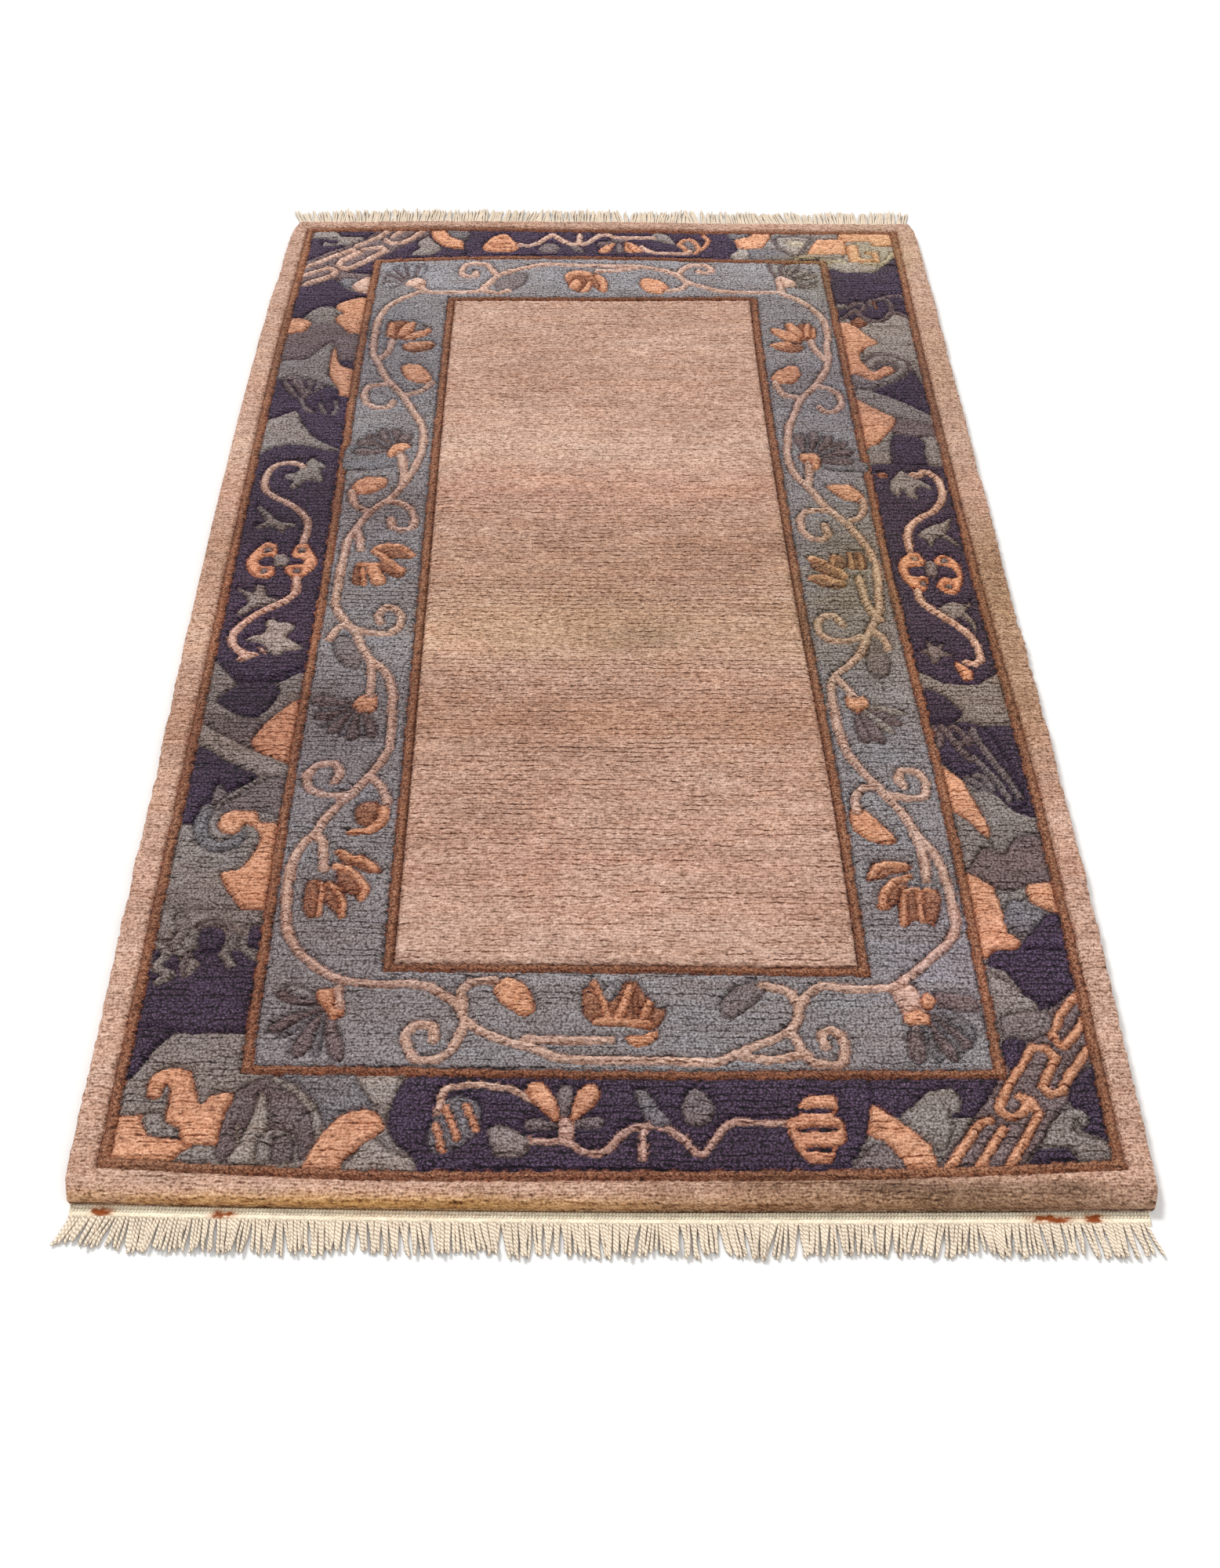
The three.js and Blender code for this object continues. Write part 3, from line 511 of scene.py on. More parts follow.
VINE_LOOP = """
-258,690 -240,687 -200,688 -178,691 -172,704 -162,722 -153,738 -135,750 -115,760 -98,768 -75,771
-50,768 0,766 45,764 70,757 90,748 103,738 112,722 124,711 140,702 160,690 200,686 240,687 262,672
278,655 290,635 298,615 302,600 302,560 298,545 298,510 292,475 285,460 277,440 265,420 255,405
247,385 240,360 233,335 229,300 226,270 228,240 235,215 245,195 255,175 262,155 275,135 290,110
300,85 308,60 313,30 313,0 310,-30 308,-60 300,-80 290,-105 280,-135 265,-158 249,-176 242,-192
241,-225 243,-270 250,-310 262,-335 275,-360 288,-385 298,-405 305,-425 312,-442 320,-455 325,-475
328,-500 330,-530 329,-555 323,-575 312,-590 298,-604 285,-618 262,-638 245,-641 215,-641 195,-638
181,-648 173,-663 170,-680 163,-692 150,-702 130,-712 112,-722 96,-731 50,-731 0,-731 -46,-729
-60,-722 -75,-715 -95,-708 -115,-698 -131,-684 -138,-668 -150,-655 -165,-644 -185,-640 -215,-641
-240,-638 -258,-631 -275,-617 -290,-602 -302,-580 -308,-555 -311,-510 -312,-487 -308,-465 -301,-448
-292,-435 -287,-420 -280,-405 -270,-388 -260,-373 -250,-355 -236,-325 -229,-300 -230,-260 -232,-215
-238,-185 -250,-165 -262,-150 -272,-130 -280,-108 -290,-90 -301,-73 -309,-50 -309,20 -306,80
-298,104 -289,130 -276,152 -262,167 -254,187 -245,210 -238,238 -232,270 -231,305 -236,337 -250,372
-262,403 -272,422 -283,440 -293,460 -302,488 -308,503 -313,520 -314,550 -314,600 -308,632
-300,650 -285,668
"""

VINE_STEMS = """
blush stem:8 -12,751 12,751 36,757 48,762 | -76,-706 -40,-708 0,-707 | -297,100 -292,80 -290,56 | 291,4
  293,-35 300,-62 308,-78
blush stem:8 -290,552 -291,530 -296,512 -305,500 | 278,552 280,535 287,515 294,500 | -290,-435 -284,-448
  -282,-462 -279,-488 | 303,-430 308,-450 310,-475 309,-497
blush stem:8 -257,262 -253,240 -250,215 -251,196 | 251,238 249,215 247,196 | -260,-158 -257,-185 -256,-216
  | 247,-180 256,-195 265,-213
blush stem:8 -290,-88 -303,-98 -309,-116 | 296,-95 307,-110 311,-128 | 110,-722 140,-729 168,-722
blush stem:7 -229,441 -236,428 -246,416 -262,409 | -311,182 -308,162 -300,147 -286,138 | -244,-349
  -232,-366 -224,-390 | 222,442 227,422 233,409 250,405
blush stem:7 311,164 309,140 302,127 288,118 | 276,-360 260,-362 251,-374 250,-398 | 86,692 100,694
  108,701 114,714 | -134,-668 -137,-648 -129,-638 -106,-634
blush stem:6 140,-638 155,-642 166,-648 172,-662 | -172,705 -166,690 -151,685 -136,692
blush stem:8 -153,738 -162,755 -170,771 -190,774 -203,766 -206,748 -199,736 -186,735 -185,748 | 103,742
  111,758 121,768 138,769 150,760 150,748 140,744 131,750
blush stem:8 -283,438 -298,433 -312,430 -315,410 -310,388 -296,377 -281,379 -277,394 | -268,160 -250,156
  -239,148 -231,125 -232,104 -244,97 -256,104 -259,122
blush stem:8 -285,-95 -266,-105 -245,-107 -235,-96 -232,-76 -239,-60 -252,-57 -259,-72 -255,-86 |
  -260,-377 -288,-379 -305,-369 -310,-348 -301,-332 -284,-329 -276,-342 -280,-358
blush stem:8 277,432 292,427 303,412 305,390 297,373 284,368 275,382 | 274,140 254,143 239,140 231,122
  233,100 243,83 256,82 263,94 260,112
blush stem:8 284,-107 266,-116 248,-116 238,-102 236,-82 245,-68 257,-70 264,-86 | 282,-371 304,-378
  321,-376 325,-352 318,-336 303,-334 298,-348 302,-360
blush stem:8 -132,-690 -137,-706 -143,-722 -154,-731 -174,-732 -181,-718 -184,-702 -176,-691 -160,-692
  -159,-709 | 164,-698 172,-718 182,-732 204,-733 210,-716 208,-700 200,-692 191,-697 193,-712
"""

LEAVES = """
peach patch -272,482 -264,488 -248,486 -237,472 -229,452 -232,443 -246,438 -260,446 -268,462
peach patch -313,186 -310,202 -296,213 -270,211 -272,192 -286,177 -303,174
ash patch -304,-114 -292,-112 -274,-128 -270,-150 -274,-172 -286,-168 -300,-146
copper patch -251,-390 -234,-388 -230,-408 -238,-427 -252,-420 -256,-404
peach patch -232,-390 -222,-394 -222,-420 -236,-436 -260,-438 -262,-430 -242,-426 -232,-410
ash patch -112,742 -112,725 -119,706 -135,692 -151,698 -158,712 -150,726 -135,739
peach patch 50,728 62,729 78,722 88,708 88,694 77,684 64,684 52,700 47,715
peach patch -106,-635 -92,-630 -78,-640 -71,-655 -68,-673 -78,-680 -90,-672 -101,-661 -107,-648
ash patch 102,-678 101,-658 115,-641 133,-632 144,-640 136,-656 121,-671 109,-681
peach patch 233,478 243,486 255,484 258,468 253,450 243,438 228,440 217,451 221,466
peach patch 268,193 276,199 300,198 313,172 306,160 290,164 279,178
ash patch 288,-122 300,-124 310,-148 306,-176 292,-184 284,-160
peach patch 243,-394 254,-391 264,-402 276,-420 287,-440 278,-447 258,-441 246,-428 242,-410
"""

# Lotuses and fans: each petal grows from the flower's heart to a tip.
FLOWERS = """
copper patch -298,604 -260,602 -240,584 -250,566 -270,552 -286,556 -298,564
peach patch -298,562 -299,585 -295,605 -289,601 -287,582 -288,562
peach patch -283,562 -282,584 -274,599 -263,605 -259,598 -264,580 -270,566
slate patch -258,600 -246,588 -252,580 -262,580
peach patch -276,557 -262,574 -248,580 -241,587 -237,581 -243,568 -252,559 -264,552
copper patch -274,536 -264,546 -238,546 -231,539 -240,524 -258,519 -271,525
peach patch -275,538 -268,547 -250,550 -236,549 -230,541 -244,535 -258,530 -270,530
copper patch 246,602 262,594 272,603 286,592 285,560 262,552 248,566 246,584
peach patch 271,560 270,585 274,601 280,601 279,582 277,560
peach patch 281,560 280,586 285,590 287,574 284,558
peach patch 246,601 254,602 264,590 269,576 266,561 258,562 250,578
copper patch 236,560 250,548 264,545 266,556 250,566
peach patch 223,582 230,588 244,581 256,572 264,560 260,550 246,552 234,562
copper patch 222,538 236,522 254,519 267,530 264,541 246,546 230,545
peach patch 219,540 232,548 248,549 254,540 240,533 226,534
copper patch -274,62 -256,67 -238,65 -226,45 -231,38 -250,40 -264,48
peach line:8.5 -272,61 -258,66 -241,63 -228,46
copper patch -268,34 -252,26 -237,14 -236,2 -246,1 -260,14
peach line:10 -273,54 -262,42 -249,28 -238,14
copper patch -294,24 -284,26 -280,-14 -288,-17 -294,-8
peach patch -280,27 -268,28 -261,12 -255,0 -256,-12 -265,-17 -273,-8 -277,6
peach line:6 -290,28 -268,29 | -284,20 -280,-13
copper patch 236,38 252,30 272,20 279,10 274,0 256,4 246,14 238,24
peach line:10 238,42 250,36 262,26 272,16 275,6
copper patch 259,44 266,52 276,44 281,28 272,22 261,30
peach line:6.5 262,32 264,48 274,44
copper patch 281,54 300,54 301,21 283,21
peach line:6.5 284,53 285,24 | 296,53 297,24
copper patch 232,4 246,-13 262,-19 275,-13 272,0 254,6
peach line:9 235,4 247,6 260,-2 271,-6
copper patch -270,-459 -262,-464 -242,-466 -231,-477 -221,-491 -234,-493 -247,-485 -259,-481 -266,-471
peach line:9 -266,-463 -252,-472 -240,-474 -230,-486
copper patch -265,-488 -252,-494 -241,-508 -242,-524 -256,-518 -264,-504
peach line:9.5 -267,-483 -254,-489 -243,-501 -235,-515 -239,-527
copper patch -279,-505 -268,-503 -256,-518 -252,-538 -254,-553 -266,-544 -276,-530
peach line:7 -272,-506 -262,-518 -255,-536 -255,-552
copper patch -293,-504 -278,-503 -276,-553 -288,-555 -294,-535
peach line:6 -279,-506 -277,-552
copper patch 251,-498 252,-484 259,-472 268,-470 291,-471 298,-479 290,-486 276,-489 264,-496
peach line:10 256,-490 264,-477 278,-475 290,-477
copper patch 262,-510 274,-502 290,-504 286,-518 276,-530 264,-538
peach line:9.5 292,-492 276,-500 265,-514 262,-534
copper patch 281,-512 318,-510 316,-540 308,-560 297,-552 290,-552 279,-561 277,-550
peach line:7 285,-513 282,-535 280,-556 | 300,-512 298,-535 299,-553
peach line:6 286,-512 300,-510 | 306,-510 314,-512
copper patch -56,740 -36,750 -8,742 2,722 2,700 -4,688 -16,702 -22,712 -24,690 -40,688 -52,704
peach patch -59,740 -48,753 -34,753 -20,745 -12,738 -18,728 -30,730 -46,733 -50,722 -58,726
peach patch -16,741 -7,739 2,723 3,702 -3,687 -8,694 -10,714 -15,728
peach patch -51,716 -42,729 -34,720 -35,706 -43,698 -53,702
peach patch -25,724 -20,722 -21,702 -26,690 -39,688 -33,698 -29,710
copper line:3.5 -46,734 -38,738 -28,734 -16,737
copper patch -25,-646 -14,-634 0,-660 14,-634 24,-634 32,-650 44,-668 50,-668 48,-682 38,-694 12,-690
  -12,-690 -24,-676
peach line:6.5 -15,-636 -8,-654 -2,-678
peach line:8 18,-643 13,-660 7,-682
copper line:4 23,-650 23,-674
peach patch 35,-655 40,-659 38,-670 32,-684 26,-683 28,-668
peach line:9 -12,-685 4,-684 20,-686 34,-686
peach patch 12,-703 18,-701 28,-700 36,-696 43,-694 42,-703 34,-713 20,-714
slate patch -8,-648 2,-638 6,-642 2,-656 -3,-660
"""

DARK_FANS = """
slate petals:15 -272,716 -316,706 -314,730 -308,750 -294,764 -276,768 -259,768
dusk stem:4 -290,715 -313,718 | -288,722 -310,741 | -284,728 -301,757 | -279,731 -286,766 | -270,734
  -267,766 | -290,708 -302,699
blush patch -285,712 -280,722 -272,728 -262,730 -255,722 -254,702 -262,694 -269,701 -280,704
blush line:9 -258,704 -253,690
dusk petals:17 -264,274 -318,270 -314,294 -304,314 -286,324 -268,325 -250,316
steel petals:6 -264,274 -312,284 -298,308 -276,320
peach patch -269,287 -250,292 -245,281 -252,276 -262,266 -270,256 -275,272
blush line:10 -259,268 -253,254 -252,238
dusk petals:17 -266,-230 -319,-226 -312,-256 -294,-282 -270,-293 -247,-288
steel petals:6 -266,-230 -308,-244 -303,-272 -282,-286 -258,-288
peach patch -274,-232 -270,-222 -262,-214 -250,-214 -247,-236 -252,-245 -266,-243
dusk petals:16 -258,-668 -306,-654 -308,-700 -281,-731 -241,-736
slate petals:13 -258,-664 -298,-646
steel petals:9 -260,-672 -298,-708 -263,-732
peach patch -270,-650 -250,-646 -244,-660 -242,-681 -253,-684 -258,-672 -266,-664
blush line:9 -249,-646 -246,-668
sage petals:16 252,716 241,770 257,773 274,766 292,756 300,738 298,706
dusk stem:4 242,736 235,752 234,770 | 251,738 249,754 255,770 | 260,734 271,748 276,765 | 267,724 285,738
  297,742 | 270,714 286,708 299,718 | 262,704 284,700
blush patch 240,732 252,735 262,727 270,716 267,704 256,703 249,712 240,722
blush line:10 245,716 248,692
dusk petals:18 252,254 243,318 263,321 284,312 303,296
dusk petals:17 254,252 310,276 308,250
steel petals:5 252,254 254,314 275,310 294,290 306,264
peach patch 241,268 262,270 267,256 264,236 258,231 250,240 243,252
blush line:9 250,228 250,248
dusk petals:16 266,-226 270,-293 288,-293 311,-262
mist petals:11 266,-226 302,-277 320,-244
peach patch 256,-212 276,-214 280,-228 266,-240 256,-230
dusk patch 298,-646 333,-650 337,-668 318,-669 300,-661
steel patch 298,-664 311,-667 328,-690 327,-705 316,-692
dusk petals:13 288,-666 324,-714
steel petals:8 288,-668 316,-720
dusk petals:12 284,-670 309,-730
steel petals:8 282,-672 293,-731
dusk petals:17 276,-670 274,-733
blush patch 258,-636 282,-638 285,-660 290,-673 268,-675
peach patch 284,-652 292,-645 299,-654 292,-666 284,-663
peach patch 267,-672 280,-667 291,-672 289,-684 276,-685 266,-683
"""

# Stains and wear that the wool has taken on: where, how large, their colour and strength.
STAINS = table(
    "across along wide long red green blue strength",
    [
        [30, -112, 70, 24, 122, 98, 70, 0.42],
        [-80, -60, 160, 60, 184, 148, 104, 0.2],
        [60, -95, 170, 60, 178, 146, 106, 0.22],
        [-130, -110, 90, 40, 190, 152, 104, 0.2],
        [285, 10, 50, 150, 176, 152, 98, 0.5],
        [262, -70, 60, 120, 168, 146, 104, 0.32],
        [448, -20, 26, 150, 168, 128, 84, 0.62],
        [448, -200, 26, 110, 176, 138, 100, 0.4],
        [446, 500, 22, 160, 176, 138, 104, 0.35],
        [300, 700, 40, 60, 164, 150, 110, 0.4],
        [390, 800, 60, 70, 176, 160, 104, 0.42],
        [288, 786, 40, 16, 206, 176, 96, 0.5],
        # The golden row along the front edge: a stain, painted lighter than its own colour to make up for
        # the shade the front edge stands in.
        [-190, -892, 330, 9, 214, 160, 92, 0.95],
        [250, -884, 240, 17, 156, 114, 76, 0.75],
        [345, -878, 110, 16, 148, 112, 82, 0.45],
        [228, -871, 36, 8, 118, 84, 58, 0.6],
        [160, -866, 70, 10, 136, 100, 70, 0.55],
        [300, -870, 60, 10, 128, 90, 60, 0.6],
        [386, -868, 40, 8, 116, 84, 60, 0.55],
        [-380, -862, 60, 12, 176, 148, 124, 0.3],
        [440, 250, 30, 200, 196, 164, 140, 0.2],
    ],
)

# Rust on the flat-woven ends.
RUST = table(
    "end across away wide strength",
    [
        ["Front", 365, 8, 15, 1.5],
        ["Front", 402, 7, 8, 1.2],
        ["Front", -423, 7, 8, 1.3],
        ["Front", -322, 8, 8, 1.5],
        ["Front", -180, 5, 60, 0.18],
        ["Back", 120, 4, 40, 0.12],
    ],
)

# Where the furrows between the rows stand open: place, half width and how much.
RIBBED = table(
    "along wide open",
    [
        [-45, 34, 0.9],
        [-180, 44, 0.7],
        [-300, 60, 0.45],
        [60, 40, 0.45],
        [140, 30, 0.4],
        [-430, 40, 0.3],
        [420, 60, 0.1],
    ],
)

# Bands where the dye bath changed along the rug: place, half width, and tint.
ABRASH = table(
    "along wide red green blue",
    [
        [450, 40, 0.99, 0.97, 0.95],
        [280, 42, 1.12, 1.18, 1.2],
        [180, 42, 1.0, 0.93, 0.9],
        [45, 80, 0.89, 0.85, 0.79],
        [-110, 62, 1.08, 1.08, 1.04],
        [-258, 58, 0.86, 0.79, 0.72],
        [-375, 36, 0.93, 0.9, 0.88],
        [-480, 60, 0.98, 0.95, 0.95],
        [-590, 30, 1.04, 1.07, 1.1],
    ],
)

# Patches where the wools are tinted lighter or darker: where, half sizes, and tint. all is all but rose.
TINT_PATCHES = table(
    "wools across along wide long red green blue",
    [
        ["all", 0, 815, 700, 135, 1.32, 1.34, 1.36],
        ["all", -330, -640, 150, 170, 0.87, 0.81, 0.8],
        ["all", -340, -300, 150, 120, 0.76, 0.7, 0.71],
        ["all", -385, -50, 60, 115, 1.22, 1.1, 1.08],
        ["all", -340, 135, 130, 80, 0.79, 0.73, 0.74],
        ["all", -385, 350, 60, 60, 1.2, 1.2, 1.24],
        ["all", -340, 500, 130, 110, 0.76, 0.75, 0.79],
        ["all", 360, -600, 110, 70, 1.13, 1.1, 1.16],
        ["all", 380, -450, 70, 60, 0.92, 0.9, 0.9],
        ["all", 380, -20, 70, 260, 1.22, 1.12, 1.0],
        ["all", 340, 420, 130, 110, 0.84, 0.82, 0.85],
        ["all", 0, -830, 210, 60, 0.9, 0.84, 0.88],
        ["slate", 0, -600, 190, 60, 1.1, 1.1, 1.1],
        ["slate", -310, 600, 50, 70, 0.86, 0.88, 0.9],
        ["slate", 0, 735, 320, 55, 1.02, 1.03, 1.03],
        ["sage", 360, 560, 90, 90, 1.3, 1.3, 1.25],
        ["sage mist", 0, 860, 600, 70, 1.15, 1.15, 1.15],
        # The bark rows are painted shade: they darken the brown lines that run across the rug, for how the
        # light falls along them.
        ["bark", 0, -690, 305, 78, 0.74, 0.62, 0.58],
        ["bark", 0, 730, 305, 88, 0.6, 0.5, 0.42],
        ["bark", 0, 880, 420, 24, 0.7, 0.64, 0.64],
    ],
)

# How the pieces' faces lie on their OFBake maps: margins and shares of the map.
BAKE = {"edge": 0.03, "walls": 1.03, "back": 0.001, "backWide": 0.011}

# The setting, in metres and degrees
FLOOR = {"half": 9, "colour": (0.93, 0.925, 0.915, 1)}
ROOM_LIGHT = 0.42
LAMPS = table(
    "name source spread power",
    [
        ["window", (-0.5, 0.6, 0.8), 18, 2.05],
        ["room", (0.4, -0.6, 0.7), 50, 1.16],
    ],
)
CAMERA = {
    "sensor": 36,
    "lens": 47.376,
    "place": (-0.01714, -1.9573, 1.40241),
    "turn": -0.7674,
    "tip": 48.744,
    "roll": 0.78,
}


def colour_of(row):
    """The red, green and blue of a table's row."""
    return np.array([row["red"], row["green"], row["blue"]])


def linear(red, green, blue):
    """A daylight colour, 0 to 255, as the linear one that a shader takes."""
    c = np.array([red, green, blue], float) / 255
    return np.where(c <= 0.04045, c / 12.92, ((c + 0.055) / 1.055) ** 2.4)


def bell(distance, wide):
    """1 where there is no distance, and softly less on both sides."""
    return np.exp(-((distance / wide) ** 2))


def rail(rows, station, column, at):
    """A column's value between a table's stations, on a smooth curve through them."""
    ordered = sorted(rows, key=lambda row: row[station])
    x = np.array([row[station] for row in ordered], float)
    y = np.array([row[column] for row in ordered], float)
    slope = np.empty_like(y)
    slope[1:-1] = (y[2:] - y[:-2]) / (x[2:] - x[:-2])
    slope[0] = (y[1] - y[0]) / (x[1] - x[0])
    slope[-1] = (y[-1] - y[-2]) / (x[-1] - x[-2])
    i = np.clip(np.searchsorted(x, at, side="right") - 1, 0, len(x) - 2)
    span = x[i + 1] - x[i]
    t = np.clip((at - x[i]) / span, 0, 1)
    ease = t * t * (3 - 2 * t)
    leave = t * (1 - t) ** 2 * span * slope[i]
    arrive = t * t * (t - 1) * span * slope[i + 1]
    return y[i] + (y[i + 1] - y[i]) * ease + leave + arrive


def placed(u, v):
    """A design's place on the floor. The design lies a little askew along the rug."""
    askew = u / HALF_WIDTH * (SKEW["middle"] + SKEW["end"] * v / HALF_LENGTH)
    return u + ORIGIN["across"], v + askew + ORIGIN["along"]


def cloudy(u, v, size_u, size_v, seed):
    """Soft random patches of a size, from -1 to 1."""
    rng = np.random.default_rng(seed)
    x = (u + 2000) / size_u
    y = (v + 2000) / size_v
    i = x.astype(int)
    j = y.astype(int)
    lattice = rng.uniform(-1, 1, (i.max() + 2, j.max() + 2))
    fx = x - i
    fy = y - j
    fx = fx * fx * (3 - 2 * fx)
    fy = fy * fy * (3 - 2 * fy)
    near = lattice[i, j] * (1 - fx) + lattice[i + 1, j] * fx
    far = lattice[i, j + 1] * (1 - fx) + lattice[i + 1, j + 1] * fx
    return near * (1 - fy) + far * fy


def clouds(name, u, v):
    """The unevenness of one use, all its sizes of patches together."""
    rows = [row for row in CLOUDS if row["name"] == name]
    return sum(
        row["strength"] * cloudy(u, v, row["across"], row["along"], row["seed"]) for row in rows
    )


def points_of(text):
    """The points of a design's row."""
    return np.array([[float(n) for n in pair.split(",")] for pair in text.split()])


def shapes_of(design):
    """A design's rows, each as its wool, its form, its width and its points as text."""
    for row in design.strip().replace("\n ", " ").splitlines():
        wool, form, points = row.split(" ", 2)
        form, _, wide = form.partition(":")
        yield wool, form, float(wide or 0), points


def softened(points, closed, step=4.0):
    """A smooth curve through the points, every few millimetres."""
    n = len(points)
    out = []
    for i in range(n if closed else n - 1):
        if closed:
            p0, p1, p2, p3 = (points[(i + k) % n] for k in (-1, 0, 1, 2))
        else:
            p0, p1, p2, p3 = (points[min(max(i + k, 0), n - 1)] for k in (-1, 0, 1, 2))
        count = max(1, int(np.hypot(*(p2 - p1)) / step))
        t = np.arange(count)[:, None] / count
        reach = 0.5 * np.hypot(*(p2 - p1))
        lead = (p2 - p0) / max(np.hypot(*(p2 - p0)), 1e-6) * reach
        trail = (p3 - p1) / max(np.hypot(*(p3 - p1)), 1e-6) * reach
        ease = t * t * (3 - 2 * t)
        out.append(p1 + (p2 - p1) * ease + lead * t * (1 - t) ** 2 + trail * t * t * (t - 1))
    if not closed:
        out.append(points[-1:])
    return np.concatenate(out)


def petal(heart, tip, wide):
    """A petal's outline, narrow at the heart and round at the tip."""
    along = tip - heart
    side = np.array([-along[1], along[0]]) / np.hypot(*along) * wide / 2
    left = [heart + along * s + side * w for s, w in PETAL]
    right = [heart + along * s - side * w for s, w in PETAL]
    return softened(np.array([heart, *right, tip, *left[::-1]]), True)


class Knots:
    """The knots of a rug on a grid: each one's wool, and how far the nearest cut is from it."""

    REACH = 9.0  # a cut further off than this doesn't matter

    def __init__(self, u, v):
        self.u = u
        self.v = v
        self.wool = np.full(u.shape, DYE["night"])
        self.cut = np.full(u.shape, self.REACH)
        self.kind = np.full(u.shape, KIND["ground"])
        self.row_low, self.row_high = v.min(0), v.max(0)
        self.column_low, self.column_high = u.min(1), u.max(1)

    def near(self, low, high, margin):
        """The part of the grid that holds everything between two corners."""
        i = (self.column_high >= low[0] - margin) & (self.column_low <= high[0] + margin)
        j = (self.row_high >= low[1] - margin) & (self.row_low <= high[1] + margin)
        i, j = np.flatnonzero(i), np.flatnonzero(j)
        if len(i) == 0 or len(j) == 0:
            return None
        return slice(i[0], i[-1] + 1), slice(j[0], j[-1] + 1)

    def measure(self, line, closed, far, margin):
        """Writes into far the distance to a line, where that is the nearer one."""
        ends = np.roll(line, -1, axis=0) if closed else line[1:]
        for a, b in zip(line, ends):
            part = self.near(np.minimum(a, b), np.maximum(a, b), margin)
            if part is None:
                continue
            du = self.u[part] - a[0]
            dv = self.v[part] - a[1]
            along = b - a
            t = np.clip((du * along[0] + dv * along[1]) / max(along @ along, 1e-9), 0, 1)
            d = np.hypot(du - t * along[0], dv - t * along[1])
            np.minimum(far[part], d, out=far[part])

    def within(self, outline):
        """Which knots lie inside an outline."""
        inside = np.zeros(self.u.shape, bool)
        part = self.near(outline.min(0), outline.max(0), 0)
        if part is None:
            return inside
        u, v = self.u[part], self.v[part]
        odd = np.zeros(u.shape, bool)
        for a, b in zip(outline, np.roll(outline, -1, axis=0)):
            if a[1] == b[1]:
                continue
            crosses = (a[1] > v) != (b[1] > v)
            at = a[0] + (v - a[1]) * (b[0] - a[0]) / (b[1] - a[1])
            odd ^= crosses & (u < at)
        inside[part] = odd
        return inside

    def dye(self, wool, inside, far, kind):
        """Gives the knots inside a shape their wool, and cuts round the shape."""
        self.wool[inside] = DYE[wool]
        self.kind[inside] = KIND[kind]
        self.cut = np.where(inside, far, np.minimum(self.cut, far))

    def fill(self, wool, outline, kind="ground", outside=False):
        """Gives the knots inside an outline their wool, or those outside it."""
        far = np.full(self.u.shape, self.REACH)
        self.measure(outline, True, far, self.REACH)
        self.dye(wool, self.within(outline) != outside, far, kind)

    def strokes(self, wool, lines, wide):
        """Lines of a width, all in one wool, that join where they meet."""
        far = np.full(self.u.shape, self.REACH + wide)
        for line in lines:
            self.measure(line, False, far, self.REACH + wide / 2)
        far = far - wide / 2
        self.dye(wool, far < 0, np.minimum(np.abs(far), self.REACH), "stroke")

    def draw(self, design):
        """Draws a design's shapes, one after another."""
        for wool, form, wide, points in shapes_of(design):
            if form == "patch":
                self.fill(wool, softened(points_of(points), True), "patch")
            elif form == "facet":
                self.fill(wool, points_of(points), "patch")
            elif form == "petals":
                heart, *tips = points_of(points)
                for tip in tips:
                    self.fill(wool, petal(heart, tip, wide), "patch")
            else:
                lines = [points_of(part) for part in points.split("|")]
                if form == "stem":
                    lines = [softened(line, False) for line in lines]
                self.strokes(wool, lines, wide)


def frame_outline(name, outset):
    """The outline of a brown line's frame, moved outwards by some millimetres."""
    def crossing(upright, level):
        x = y = 0.0
        for _ in range(5):
            y = float(rail(ALONG, "across", level, x))
            x = float(rail(ACROSS, "along", upright, y))
        return x, y

    left, right, front, back = (name + side for side in ("Left", "Right", "Front", "Back"))
    corners = [crossing(left, front), crossing(right, front), crossing(right, back)]
    corners.append(crossing(left, back))
    sides = []
    for i, side in enumerate((front, right, back, left)):
        share = np.linspace(0, 1, 25)[:-1]
        a, b = corners[i], corners[(i + 1) % 4]
        x = a[0] + (b[0] - a[0]) * share
        y = a[1] + (b[1] - a[1]) * share
        if i % 2 == 0:
            y = rail(ALONG, "across", side, x)
        else:
            x = rail(ACROSS, "along", side, y)
        sides.append(np.stack([x, y], 1))
    outline = np.concatenate(sides)
    before = outline - np.roll(outline, 1, axis=0)
    after = np.roll(outline, -1, axis=0) - outline
    before /= np.hypot(*before.T)[:, None]
    after /= np.hypot(*after.T)[:, None]
    middle = before + after
    middle /= np.hypot(*middle.T)[:, None]
    reach = outset / (middle * before).sum(1)
    return outline + np.stack([middle[:, 1], -middle[:, 0]], 1) * reach[:, None]


